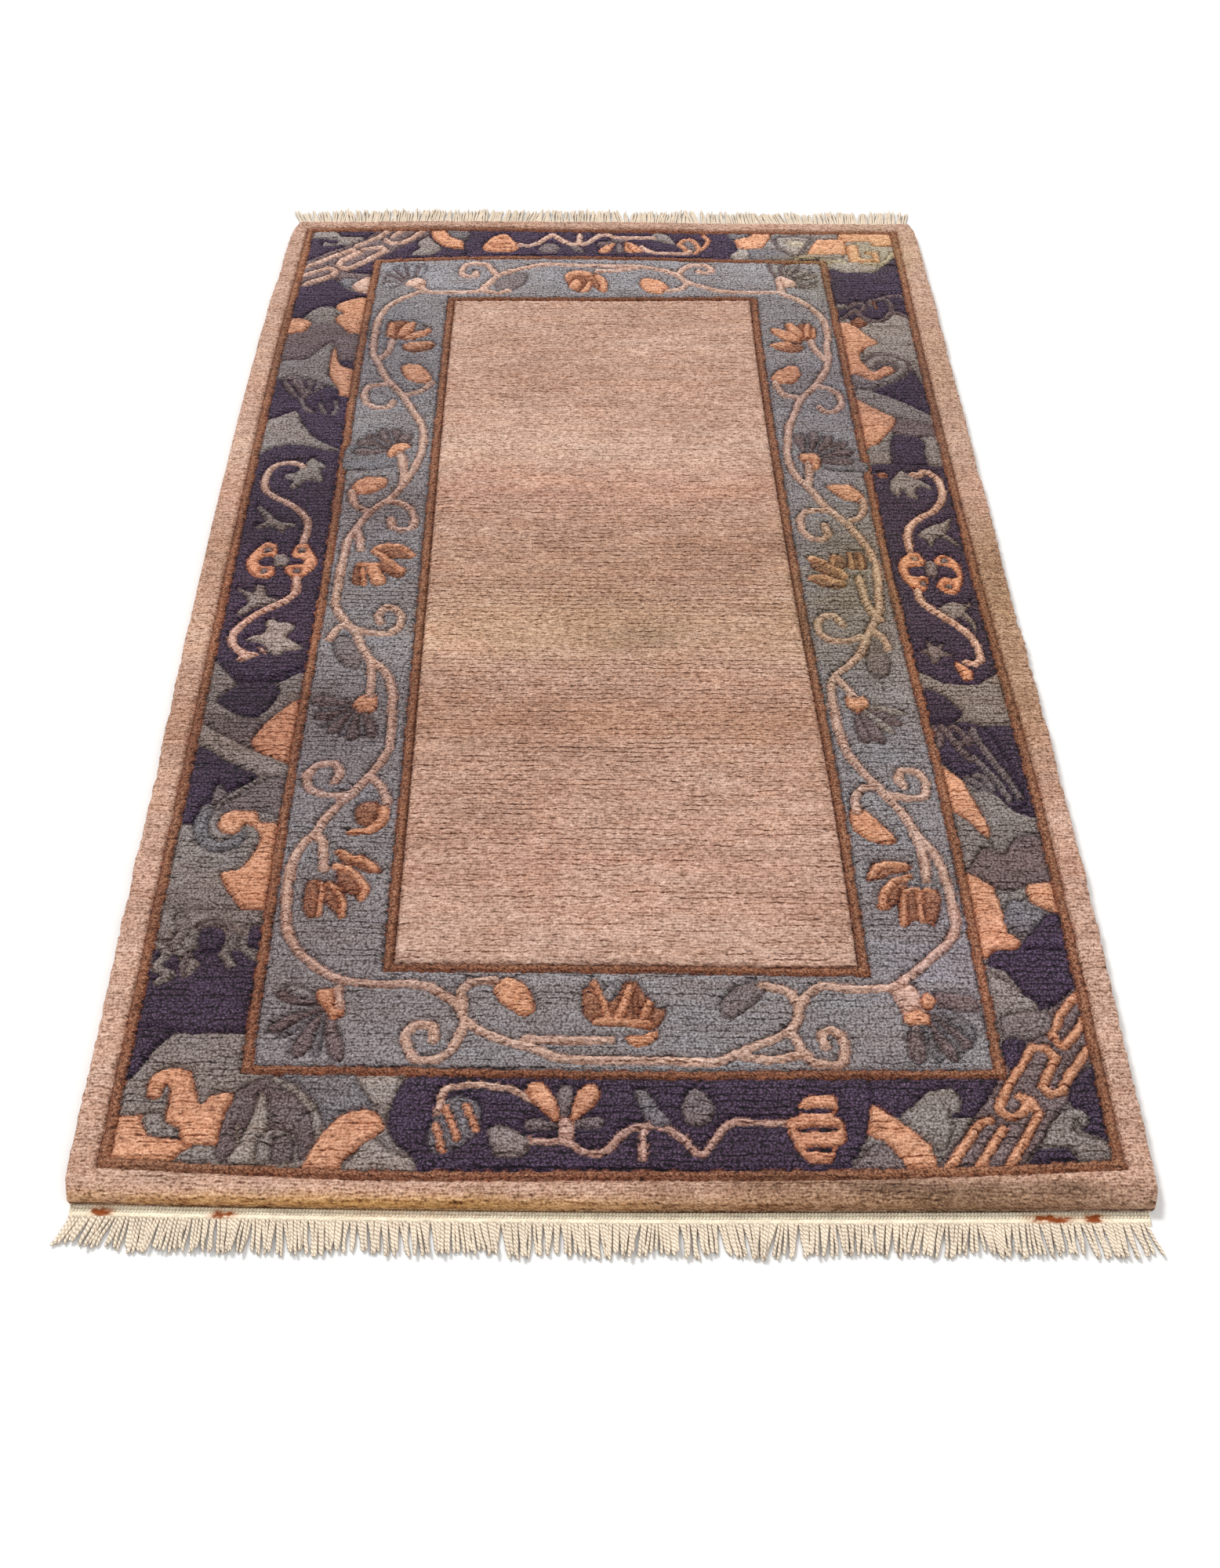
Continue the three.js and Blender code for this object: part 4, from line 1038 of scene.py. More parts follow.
def knot_design(knots):
    """Draws the whole rug, from the outer border inwards."""
    half = LINE_WIDE / 2
    for design in (
        SIDE_BACK_LEFT, CORNER_BACK_LEFT, PANEL_LEFT, SIDE_FRONT_LEFT, CORNER_FRONT_LEFT,
        SIDE_FRONT_RIGHT, CORNER_FRONT_RIGHT, PANEL_FRONT, SIDE_BACK_RIGHT, CORNER_BACK_RIGHT,
        PANEL_RIGHT, PANEL_BACK,
    ):
        knots.draw(design)
    knots.fill("bark", frame_outline("outer", -half), outside=True)
    knots.fill("hem", frame_outline("outer", half), outside=True)
    knots.fill("bark", frame_outline("middle", half))
    knots.fill("slate", frame_outline("middle", -half))
    for design in (INNER_GREYS, DARK_FANS, LEAVES, FLOWERS):
        knots.draw(design)
    loop = softened(points_of(VINE_LOOP), True)
    stems = [
        softened(points_of(part), False)
        for _, _, _, points in shapes_of(VINE_STEMS)
        for part in points.split("|")
    ]
    knots.strokes("blush", [np.concatenate([loop, loop[:1]]), *stems], VINE_WIDE)
    knots.fill("bark", frame_outline("inner", half))
    knots.fill("rose", frame_outline("inner", -half))
    knots.kind[knots.wool == DYE["bark"]] = KIND["line"]


def knot_grid(across, along, edge):
    """Design coordinates of a grid that follows the rug's edges and brown lines."""
    half = LINE_WIDE / 2
    inset = edge[-1]["inset"]

    def rails_of(first, last):
        """Each rail that the grid follows: an edge or one side of a brown line, with its offset."""
        inwards = [(name + first, off) for name in ("outer", "middle", "inner") for off in (-half, half)]
        outwards = [(name + last, off) for name in ("inner", "middle", "outer") for off in (-half, half)]
        return [("edge" + first, inset), *inwards, *outwards, ("edge" + last, -inset)]

    def stations(rails, rows, station, pitch):
        """Each line of the grid: a rail, its offset, the next one's, the share, and the rise."""
        first, last = rails[0][0], rails[-1][0]
        out = [(first, row["inset"], first, row["inset"], 0.0, row["rise"]) for row in edge[:-1]]
        middle = np.zeros(1)
        for (a, da), (b, db) in zip(rails, rails[1:]):
            gap = rail(rows, station, b, middle)[0] + db - rail(rows, station, a, middle)[0] - da
            count = max(1, round(gap / pitch))
            out += [(a, da, b, db, k / count, 1.0) for k in range(count)]
        out += [(last, -row["inset"], last, -row["inset"], 0.0, row["rise"]) for row in edge[::-1]]
        return out

    columns = stations(rails_of("Left", "Right"), ACROSS, "along", across)
    rows = stations(rails_of("Front", "Back"), ALONG, "across", along)

    def spread(lines, rails, station, at, axis):
        """Where the grid's lines run, at places along them."""
        out = np.empty_like(at)
        for k, (a, da, b, db, share, _) in enumerate(lines):
            part = (k, slice(None)) if axis == 0 else (slice(None), k)
            value = rail(rails, station, a, at[part]) + da
            if share:
                value = value * (1 - share) + (rail(rails, station, b, at[part]) + db) * share
            out[part] = value
        return out

    u = np.zeros((len(columns), len(rows)))
    for _ in range(4):
        v = spread(rows, ALONG, "across", u, 1)
        u = spread(columns, ACROSS, "along", v, 0)
    rise = np.minimum.outer([c[-1] for c in columns], [r[-1] for r in rows])
    return u, v, rise, columns, rows


def carved_height(knots, rise):
    """The pile's height, with its cuts, cords, rows and tufts, and the painted shade at each knot, darkest
    in the cuts and furrows.
    """
    rng = np.random.default_rng(7)
    u, v = knots.u, knots.v
    stand = PILE_TOP - CLOTH_THICK
    line = knots.kind == KIND["line"]
    stroke = knots.kind == KIND["stroke"]
    slope = bell(knots.cut, CUT["slope"])
    height = stand - CUT["deep"] * bell(knots.cut, CUT["wide"]) - CUT["shoulder"] * slope
    half = LINE_WIDE / 2
    cord = np.sqrt(np.clip(1 - (1 - np.minimum(knots.cut, half) / half) ** 2, 0, 1))
    trough = CUT["deep"] + CUT["shoulder"] - LINE["below"]
    height = np.where(line, stand - LINE["below"] - trough * (1 - cord), height)
    height += np.where(stroke, STROKE["rise"] * (1 - slope), 0)

    row = (v + clouds("row bend", u, v)) / ROW_PITCH
    off = np.abs(row - np.round(row)) * ROW_PITCH
    ribbed = sum(band["open"] * bell(v - band["along"], band["wide"]) for band in RIBBED)
    furrow = FURROW["open"] + clouds("row break", u, np.round(row) * ROW_APART)
    furrow += ribbed * (1 + clouds("ribbing", u, v))
    furrow += FURROW["night"] * (knots.wool == DYE["night"])
    furrow = np.clip(furrow, 0, 1) * ~line * np.where(knots.wool == DYE["hem"], FURROW["hem"], 1)
    height -= FURROW["deep"] * furrow * bell(off, FURROW["wide"])

    tuft = rng.uniform(-1, 1, u.shape)
    height += clouds("pile height", u, v) - SINK + TUFT["uneven"] * tuft
    # Painted shade for the colour: in the cuts (less on raised strokes), in the furrows and on a cord's
    # flanks; taller tufts are painted lighter.
    hollow_shade = bell(knots.cut, CUT["dark"]) * np.where(stroke, STROKE["dark"], 1.0)
    hollow_shade += FURROW["dark"] * furrow * bell(off, FURROW["darkWide"])
    hollow_shade = np.where(line, LINE["dark"] * (1 - cord), hollow_shade)
    height = CLOTH_THICK + TUFT["foot"] + (height - TUFT["foot"]) * rise
    return height, np.clip(hollow_shade - TUFT["dark"] * tuft, 0, 1), row, furrow


def dyed_and_shaded(knots, hollow_shade):
    """Each knot's colour: its wool, the bands of the dye bath, patches tinted lighter or darker with
    painted shade on the level brown lines, painted shadows in the cuts and furrows, and stains.
    """
    u, v = knots.u, knots.v
    rng = np.random.default_rng(19)
    colour = np.array([linear(*colour_of(row)) for row in DYES])[knots.wool]
    field = np.isin(knots.wool, [DYE[name] for name in PLAIN_WOOLS])
    bend = v + clouds("dye bend", u, v)
    bow = u + clouds("dye bow", u, v)

    def tinted(where, row, share):
        """The colours, with those of some knots tinted by a share of a row's tint."""
        tint = 1 + (colour_of(row) - 1) * share[..., None]
        return np.where(where[..., None], colour * tint, colour)

    for band in ABRASH:
        colour = tinted(field, band, bell(bend - band["along"], band["wide"]))
    for area in TINT_PATCHES:
        du = (bow - area["across"]) / area["wide"]
        dv = (bend - area["along"]) / area["long"]
        some = [DYE[name] for name in area["wools"].split() if name != "all"]
        where = np.isin(knots.wool, some) if some else ~field
        colour = tinted(where, area, np.exp(-(du**4 + dv**4)))

    back = 1 + clouds("dye depth", u, v) + LIGHT_BACK["speck"] * rng.uniform(-1, 1, u.shape)
    colour = colour * back[..., None] ** np.array(LIGHT_BACK["channels"])
    warm = clouds("dye warmth", u, v)
    colour = colour * np.stack([1 + warm, np.ones_like(warm), 1 - warm], -1)
    ragged = 1 + clouds("stain edge", u, v)
    for stain in STAINS:
        du = (u - stain["across"]) / stain["wide"]
        dv = (v - stain["along"]) / stain["long"]
        share = (stain["strength"] * np.exp(-((du * du + dv * dv) * ragged)))[..., None]
        depth = colour.mean(-1, keepdims=True) / STAIN_DEPTH["full"]
        tone = linear(*colour_of(stain)) * np.minimum(depth, STAIN_DEPTH["most"])
        colour = colour * (1 - share) + tone * share
    # What light reaches the bottom of a cut has bounced off its wool, so it is dark and warm.
    hollow_shade = hollow_shade[..., None]
    own_tint = colour / colour.max(-1, keepdims=True)
    shaded = colour * (1 - LIGHT_BACK["cut"] * hollow_shade)
    return np.clip(shaded * own_tint ** (LIGHT_BACK["cutTint"] * hollow_shade), 0, 1)


def put(name, data):
    """An object in the scene, at the origin."""
    piece = bpy.data.objects.new(name, data)
    bpy.context.scene.collection.objects.link(piece)
    return piece


def mesh_of(name, corners, faces):
    """A mesh from corners in millimetres and arrays of faces, each array's with as many sides."""
    loops = np.concatenate([f.ravel() for f in faces]).astype(np.int32)
    sizes = np.concatenate([np.full(len(f), f.shape[1]) for f in faces])
    mesh = bpy.data.meshes.new(name)
    mesh.vertices.add(len(corners))
    mesh.vertices.foreach_set("co", (corners * MM).astype(np.float32).ravel())
    mesh.loops.add(len(loops))
    mesh.loops.foreach_set("vertex_index", loops)
    mesh.polygons.add(len(sizes))
    mesh.polygons.foreach_set("loop_start", (np.cumsum(sizes) - sizes).astype(np.int32))
    mesh.update(calc_edges=True)
    mesh.shade_smooth()
    return mesh, loops, sizes


def unrolled(x, y, face):
    """A map of a shaped face, with room for what rounds over at its edges."""
    def run(across, up):
        step = np.hypot(np.diff(across), np.diff(up)) + 0.05
        reach = np.concatenate([[0], np.cumsum(step)])
        return BAKE["edge"] + (1 - 2 * BAKE["edge"]) * reach / reach[-1]

    nx, ny = x.shape
    s = np.repeat(run(x[:, ny // 2], face[:, ny // 2])[:, None], ny, 1)
    t = np.repeat(run(y[nx // 2], face[nx // 2])[None], nx, 0)
    return np.stack([s.ravel(), t.ravel()], 1)


def block(name, x, y, face, back, layers, paint, under=False):
    """A closed piece with a shaped face over a grid, straight walls and a plain back."""
    nx, ny = x.shape
    count = nx * ny
    index = np.arange(count).reshape(nx, ny)
    quads = [index[:-1, :-1], index[1:, :-1], index[1:, 1:], index[:-1, 1:]]
    quads = np.stack(quads, -1).reshape(-1, 4)
    rim = np.concatenate([index[:, 0], index[-1, 1:], index[-2::-1, -1], index[0, -2:0:-1]])
    low = count + np.arange(len(rim))
    walls = np.stack([rim, low, np.roll(low, -1), np.roll(rim, -1)], -1)
    # The back is a ladder of long quads, with one many-sided face at each end.
    left = np.concatenate([[count], count + len(rim) - np.arange(1, ny)])
    right = count + nx - 1 + np.arange(ny)
    rungs = np.stack([left[1:-2], left[2:-1], right[2:-1], right[1:-2]], -1)
    first = np.concatenate([[left[1], right[1]], low[:nx][::-1]])
    last = np.concatenate([low[nx + ny - 2 : 2 * nx + ny - 2][::-1], [right[-2], left[-2]]])
    faces = [quads, walls, rungs, first[None], last[None]]
    if under:
        faces = [f[:, ::-1] for f in faces]
    corners = np.stack([x.ravel(), y.ravel(), face.ravel()], 1)
    rim_corners = corners[rim].copy()
    rim_corners[:, 2] = back
    mesh, loops, sizes = mesh_of(name, np.concatenate([corners, rim_corners]), faces)
    mesh.polygons.foreach_set("use_smooth", np.arange(len(sizes)) < len(quads))
    for key, values in layers.items():
        values = values.reshape(count, -1)
        values = np.concatenate([values, values[rim]]).astype(np.float32)
        if values.shape[1] == 3:
            layer = mesh.color_attributes.new(key, "FLOAT_COLOR", "POINT")
            rgba = np.concatenate([values, np.ones((len(values), 1), np.float32)], 1)
            layer.data.foreach_set("color", rgba.ravel())
        else:
            mesh.attributes.new(key, "FLOAT", "POINT").data.foreach_set("value", values.ravel())

    flat = unrolled(x, y, face)
    spots = np.concatenate([flat, 0.5 + (flat[rim] - 0.5) * BAKE["walls"]])[loops]
    plain = np.arange(len(loops)) >= quads.size + walls.size
    spots[plain, 1] = BAKE["back"] + BAKE["backWide"] * spots[plain, 1]
    mesh.uv_layers.new(name="OFBake").data.foreach_set("uv", spots.astype(np.float32).ravel())
    mesh.materials.append(paint)
    mesh.validate()
    return put(name, mesh)


def between(operation, flipped=False):
    """The method that writes an operator between two values as a Math node."""
    def method(self, other):
        return self.plan.maths(operation, *((other, self) if flipped else (self, other)))

    return method


class Wire:
    """One output of a node, which can stand in a sum."""

    def __init__(self, plan, socket):
        self.plan = plan
        self.socket = socket

    __add__ = __radd__ = between("ADD")
    __mul__ = __rmul__ = between("MULTIPLY")
    __sub__ = between("SUBTRACT")
    __rsub__ = between("SUBTRACT", flipped=True)
    __truediv__ = between("DIVIDE")
    __pow__ = between("POWER")


class Plan:
    """Adds nodes to a tree, their settings first and then what goes into them."""

    def __init__(self, tree):
        self.tree = tree
        tree.nodes.clear()

    def add(self, kind, settings=None, inputs=None, output=0):
        node = self.tree.nodes.new(kind)
        for name, value in (settings or {}).items():
            setattr(node, name, value)
        for name, values in (inputs or {}).items():
            for value in values if isinstance(values, list) else [values]:
                if isinstance(value, Wire):
                    self.tree.links.new(value.socket, node.inputs[name])
                else:
                    node.inputs[name].default_value = value
        return Wire(self, node.outputs[output]) if len(node.outputs) else None

    def maths(self, operation, a, b=0):
        return self.add("ShaderNodeMath", {"operation": operation}, {0: a, 1: b})

    def vector(self, operation, a, b):
        return self.add("ShaderNodeVectorMath", {"operation": operation}, {0: a, 1: b})

    def part(self, vector, axis):
        return self.add("ShaderNodeSeparateXYZ", None, {"Vector": vector}, axis)

    def joined(self, **parts):
        return self.add("ShaderNodeCombineXYZ", None, parts)

    def layer(self, name, output="Fac"):
        return self.add("ShaderNodeAttribute", {"attribute_name": name}, output=output)

    def eased(self, value, low, high, start=0.0, stop=1.0):
        ends = {"From Min": low, "From Max": high, "To Min": start, "To Max": stop}
        settings = {"interpolation_type": "SMOOTHSTEP"}
        return self.add("ShaderNodeMapRange", settings, {"Value": value, **ends})

    def gamma(self, colour, gamma):
        return self.add("ShaderNodeGamma", None, {"Color": colour, "Gamma": gamma})

    def relief(self, height, depth):
        """The bumps of a height, so many millimetres deep."""
        inputs = {"Strength": 1.0, "Distance": depth * MM, "Height": height}
        return self.add("ShaderNodeBump", None, inputs, "Normal")

    def surface(self, **looks):
        """What the material looks like, by the shader's own sockets."""
        shader = self.add("ShaderNodeBsdfPrincipled", None, looks)
        self.add("ShaderNodeOutputMaterial", None, {"Surface": shader})


def painted(name):
    """A new material and the empty plan of its nodes."""
    material = bpy.data.materials.new(name)
    material.use_nodes = True
    return material, Plan(material.node_tree)


def wool(name, tuft, depth, gaps, ribbed=False):
    """Spun yarn in tufts so many millimetres wide and high, with painted light on their tips and painted
    shade in the gaps between them.
    """
    material, plan = painted(name)
    place = plan.add("ShaderNodeTexCoord", output="Object")

    def noise(row):
        sizes = tuple(1 / (row[way] * MM) for way in ("across", "along", "along"))
        inputs = {"Vector": plan.vector("MULTIPLY", place, sizes), "Scale": 1.0, "Detail": row["detail"]}
        return plan.add("ShaderNodeTexNoise", None, inputs)

    aside, forward, strands, fibre = (noise(row) for row in YARN_NOISE)
    # The tufts follow the height too, so the sides have them as well.
    x, y, z = (plan.part(place, axis) for axis in "XYZ")
    row = 2 * plan.layer("row") if ribbed else y / (tuft * MM)
    lattice = plan.joined(
        X=(x + z) / (tuft * MM) + STRAYED["aside"] * aside,
        Y=row + z / (tuft * MM) + STRAYED["forward"] * forward + STRAYED["start"],
    )
    from_tip = plan.add(
        "ShaderNodeTexVoronoi",
        {"voronoi_dimensions": "2D", "feature": "SMOOTH_F1"},
        {"Vector": lattice, "Scale": 1.0, "Smoothness": 0.45, "Randomness": 0.85},
        "Distance",
    )
    tip = 1 - from_tip
    # The tufts' tips are painted lighter and the gaps between them darker, as painted light and shade,
    # over the strands' and fibres' own tones.
    strewn = TIP_LIGHT_AND_GRAIN["strewn"] * (strands - 0.5)
    tip_light_and_grain = TIP_LIGHT_AND_GRAIN["tip"] * (tip - TIP_LIGHT_AND_GRAIN["middle"]) + TIP_LIGHT_AND_GRAIN["fibre"] * (fibre - 0.5)
    height = SWELL["tip"] * tip + SWELL["strands"] * strands + SWELL["fibre"] * fibre
    light_in = LIT["plain"] + gaps * (tip_light_and_grain + strewn)
    tint = 0.0
    if ribbed:
        def furrows(count, wide):
            """1 in the middle of each furrow, falling to 0 at a share of the way to the next."""
            return plan.eased(plan.maths("ABSOLUTE", plan.maths("FRACT", count + 0.5) - 0.5), wide, 0.0)

        coarse = plan.layer("coarse")
        # The open and the fine furrows between rows are painted darker and warmer, as painted shade.
        shut = plan.eased(strands, OPEN_ROW["from"], OPEN_ROW["to"])
        open_row = furrows(0.5 * row, OPEN_ROW["wide"]) * plan.layer("furrow") * shut
        fine_row = furrows(row, FINE_ROW["wide"])
        uneven = strewn * (1.4 - 0.6 * coarse) + coarse * tip_light_and_grain
        light_in = LIT["ribbed"] + uneven - FINE_ROW["dark"] * fine_row
        light_in = light_in * (1 - OPEN_ROW["dark"] * open_row)
        height = height - SWELL["row"] * (open_row + fine_row)
        tint = OPEN_ROW["tint"] * open_row
    # Light that has bounced off the wool into a gap is dimmer and takes more of the wool's colour.
    least = {0: light_in, 1: LIT["least"], 2: LIT["blend"]}
    light_in = plan.add("ShaderNodeMath", {"operation": "SMOOTH_MAX"}, least)
    green, blue = (WARMER[c] * light_in - (WARMER[c] - 1) for c in ("green", "blue"))
    # The knots' colours already hold the painted shade of the cuts and furrows.
    colour = plan.vector("MULTIPLY", plan.layer("dye", "Color"), plan.joined(X=light_in, Y=green, Z=blue))
    colour = plan.gamma(colour, WARMER["gamma"] - (WARMER["gamma"] - 1) * light_in + tint)
    looks = {"Base Color": colour, "Normal": plan.relief(height, depth), **MATT}
    plan.surface(**looks, **{"Sheen Weight": 0.03, "Sheen Roughness": 0.6})
    return material


def twisted(name, tone, turn):
    """Two plies of pale yarn wound round each other, a half turn every so many millimetres, with painted
    shade in the groove between them and on the strands' flanks.
    """
    material, plan = painted(name)
    place = plan.add("ShaderNodeTexCoord", output="Object")
    facing = plan.add("ShaderNodeNewGeometry", output="Normal")
    nx, nz = (plan.part(facing, axis) for axis in "XZ")
    wound = plan.part(place, "Y") * (2 * math.pi / (turn * MM)) + plan.layer("phase")
    ply = (nx * nx - nz * nz) * plan.maths("COSINE", wound) + 2 * nx * nz * plan.maths("SINE", wound)
    # Painted shade in the groove between the plies, darker and warmer.
    groove = plan.maths("MAXIMUM", 0.0 - ply)
    fine, dirt = (
        plan.add("ShaderNodeTexNoise", None, {"Vector": place, "Scale": scale, "Detail": 2.0})
        for scale in (900.0, 45.0)
    )
    # Strands that lie side by side keep the light from each other's flanks.
    beside = plan.eased(nz, 0.0, FLANK["up"], FLANK["dark"], 1.0)
    shade = beside * (1.06 - 0.3 * groove + 0.3 * (fine - 0.5) + 0.4 * (dirt - 0.5))
    base = plan.add("ShaderNodeRGB")
    base.socket.default_value = (*tone, 1)
    colour = plan.add("ShaderNodeVectorMath", {"operation": "SCALE"}, {0: base, "Scale": shade})
    colour = plan.gamma(colour, 1 + 0.5 * groove)
    plan.surface(**{"Base Color": colour, "Normal": plan.relief(0.2 * fine - groove, 0.6), **MATT})
    return material


def lay_pile(paint):
    """The knotted pile, in eight pieces that meet along the cuts of the inner line."""
    u, v, rise, columns, rows = knot_grid(KNOT["across"], KNOT["along"], EDGE_ROUND)
    knots = Knots(
        u + clouds("outline across", u, v),  # the drawing, as the knotter followed it
        v + clouds("outline along", u, v),
    )
    knot_design(knots)
    height, hollow_shade, row, furrow = carved_height(knots, rise)
    layers = {
        "dye": dyed_and_shaded(knots, hollow_shade),
        "row": row,
        "furrow": furrow,
        "coarse": np.array([wool["coarse"] for wool in DYES])[knots.wool],
    }
    rng = np.random.default_rng(23)
    loose = (rise == 1) * KNOT["loose"]
    x, y = placed(u + rng.uniform(-1, 1, u.shape) * loose, v + rng.uniform(-1, 1, u.shape) * loose)
    # The sides bulge a little, row by row.
    beside = bell(np.abs(u) - np.abs(u[[0, -1]]).mean(), BULGE_WIDE)
    x = x + clouds("side bulge", 0 * u, v) * beside * np.sign(u)

    def nearest(lines, name, offset):
        return next(k for k, line in enumerate(lines) if line[:2] == (name, offset) and line[4] == 0)

    half = LINE_WIDE / 2
    left, right = nearest(columns, "innerLeft", half), nearest(columns, "innerRight", -half)
    front, back = nearest(rows, "innerFront", half), nearest(rows, "innerBack", -half)
    middle = int(np.abs(v[u.shape[0] // 2]).argmin())
    last_column, last_row = (n - 1 for n in u.shape)
    parts = table(
        "name fromColumn toColumn fromRow toRow",
        [
            ["pile_end_front", 0, last_column, 0, front],
            ["pile_end_back", 0, last_column, back, last_row],
            ["pile_left_front", 0, left, front, middle],
            ["pile_left_back", 0, left, middle, back],
            ["pile_field_front", left, right, front, middle],
            ["pile_field_back", left, right, middle, back],
            ["pile_right_front", right, last_column, front, middle],
            ["pile_right_back", right, last_column, middle, back],
        ],
    )
    pieces = []
    for part in parts:
        i = slice(part["fromColumn"], part["toColumn"] + 1)
        j = slice(part["fromRow"], part["toRow"] + 1)
        own = {key: values[i, j] for key, values in layers.items()}
        pieces.append(block(part["name"], x[i, j], y[i, j], height[i, j], CLOTH_THICK, own, paint))
    return pieces


def lay_cloth(paint):
    """The woven foundation, with the backs of the knots on its underside."""
    edge = table("inset rise", [[1.0, 1.0]])
    u, v, _, _, _ = knot_grid(CLOTH_KNOT, CLOTH_KNOT, edge)
    knots = Knots(u, v)
    knot_design(knots)
    weft = linear(*colour_of(DYES[DYE["weft"]]))
    # The backs of the knots take a little painted cut shade all over.
    colour = dyed_and_shaded(knots, np.full(u.shape, 0.1)) * 0.8 + weft * 0.2
    x, y = placed(u, v)
    plain = np.ones(v.shape)
    layers = {"dye": colour, "row": v / ROW_PITCH, "furrow": 0.4 * plain, "coarse": plain}
    return block("cloth", x, y, np.zeros_like(x), CLOTH_THICK, layers, paint, under=True)


def end_span(end, inset):
    """Which way an end of the rug looks, and where it starts and stops across."""
    out = -1 if end == "Front" else 1
    at = np.array([out * END])
    left = rail(ACROSS, "along", "edgeLeft", at)[0] + inset
    return out, left, rail(ACROSS, "along", "edgeRight", at)[0] - inset


def lay_heading(end, paint):
    """The flat-woven band past the last knots, with its twined rows and stitched line."""
    out, left, right = end_span(end, HEADING["inset"])
    across = np.arange(0.0, HEADING["run"] + 0.2, HEADING_GRID["across"]) / HEADING["run"]
    away = np.arange(0.0, HEADING["wide"] + 0.1, HEADING_GRID["along"])
    u, s = np.meshgrid(left + across * (right - left), away[::out], indexing="ij")
    v = rail(ALONG, "across", "edge" + end, u) + out * (HEADING["gap"] + s)
    rng = np.random.default_rng(61)
    twist = STRAND["pitch"]
    twine = HEADING["twined"] / 2
    twined = s < HEADING["twined"]
    bead = 0.5 + 0.5 * np.cos(2 * np.pi * (u / twist + 0.5 * np.floor(s / twine) + s / (2.2 * twist)))
    bead = bead * np.sqrt(np.abs(np.sin(np.pi * s / twine)))
    flat = WEAVE["flat"] + WEAVE["wave"] * np.cos(2 * np.pi * u / twist)
    height = np.where(twined, WEAVE["low"] + WEAVE["bead"] * bead, flat)
    stitch = bell(s - STITCH["away"] - clouds("stitch stray", u, s), STITCH["wide"])
    on = np.mod(u / STITCH["pitch"] + clouds("stitch pitch", u, s), 1) < STITCH["share"]
    stitch *= STITCH["between"] + (1 - STITCH["between"]) * on
    height -= STITCH["deep"] * stitch
    height += rng.uniform(-1, 1, u.shape) * WEAVE["rough"]
    rim = (away == away.min()) | (away == away.max())
    height = np.clip(np.where(rim, WEAVE["low"], height), WEAVE["least"], HEADING["thick"])

    shade = np.where(twined, SHADE["hollow_shade"] + SHADE["bead"] * bead, SHADE["flat"])
    shade *= 1 - SHADE["stitch"] * stitch
    shade *= 1 + clouds("heading shade", u, v) + SHADE["speck"] * rng.uniform(-1, 1, u.shape)
    colour = linear(*CREAM) * shade[..., None]
    ragged = RUST_MEAN + clouds("rust edge", u, s)
    for stain in RUST:
        if stain["end"] == end:
            share = bell(u - stain["across"], stain["wide"]) * bell(s - stain["away"], RUST_LONG)
            share = np.clip(share * stain["strength"] * ragged, 0, 1)[..., None]
            rust = linear(*RUST_PALE) * (1 - share) + linear(*RUST_DARK) * share
            colour = colour * (1 - share) + rust * share
    x, y = placed(u, v)
    return block("heading_" + end.lower(), x, y, height, 0.0, {"dye": np.clip(colour, 0, 1)}, paint)


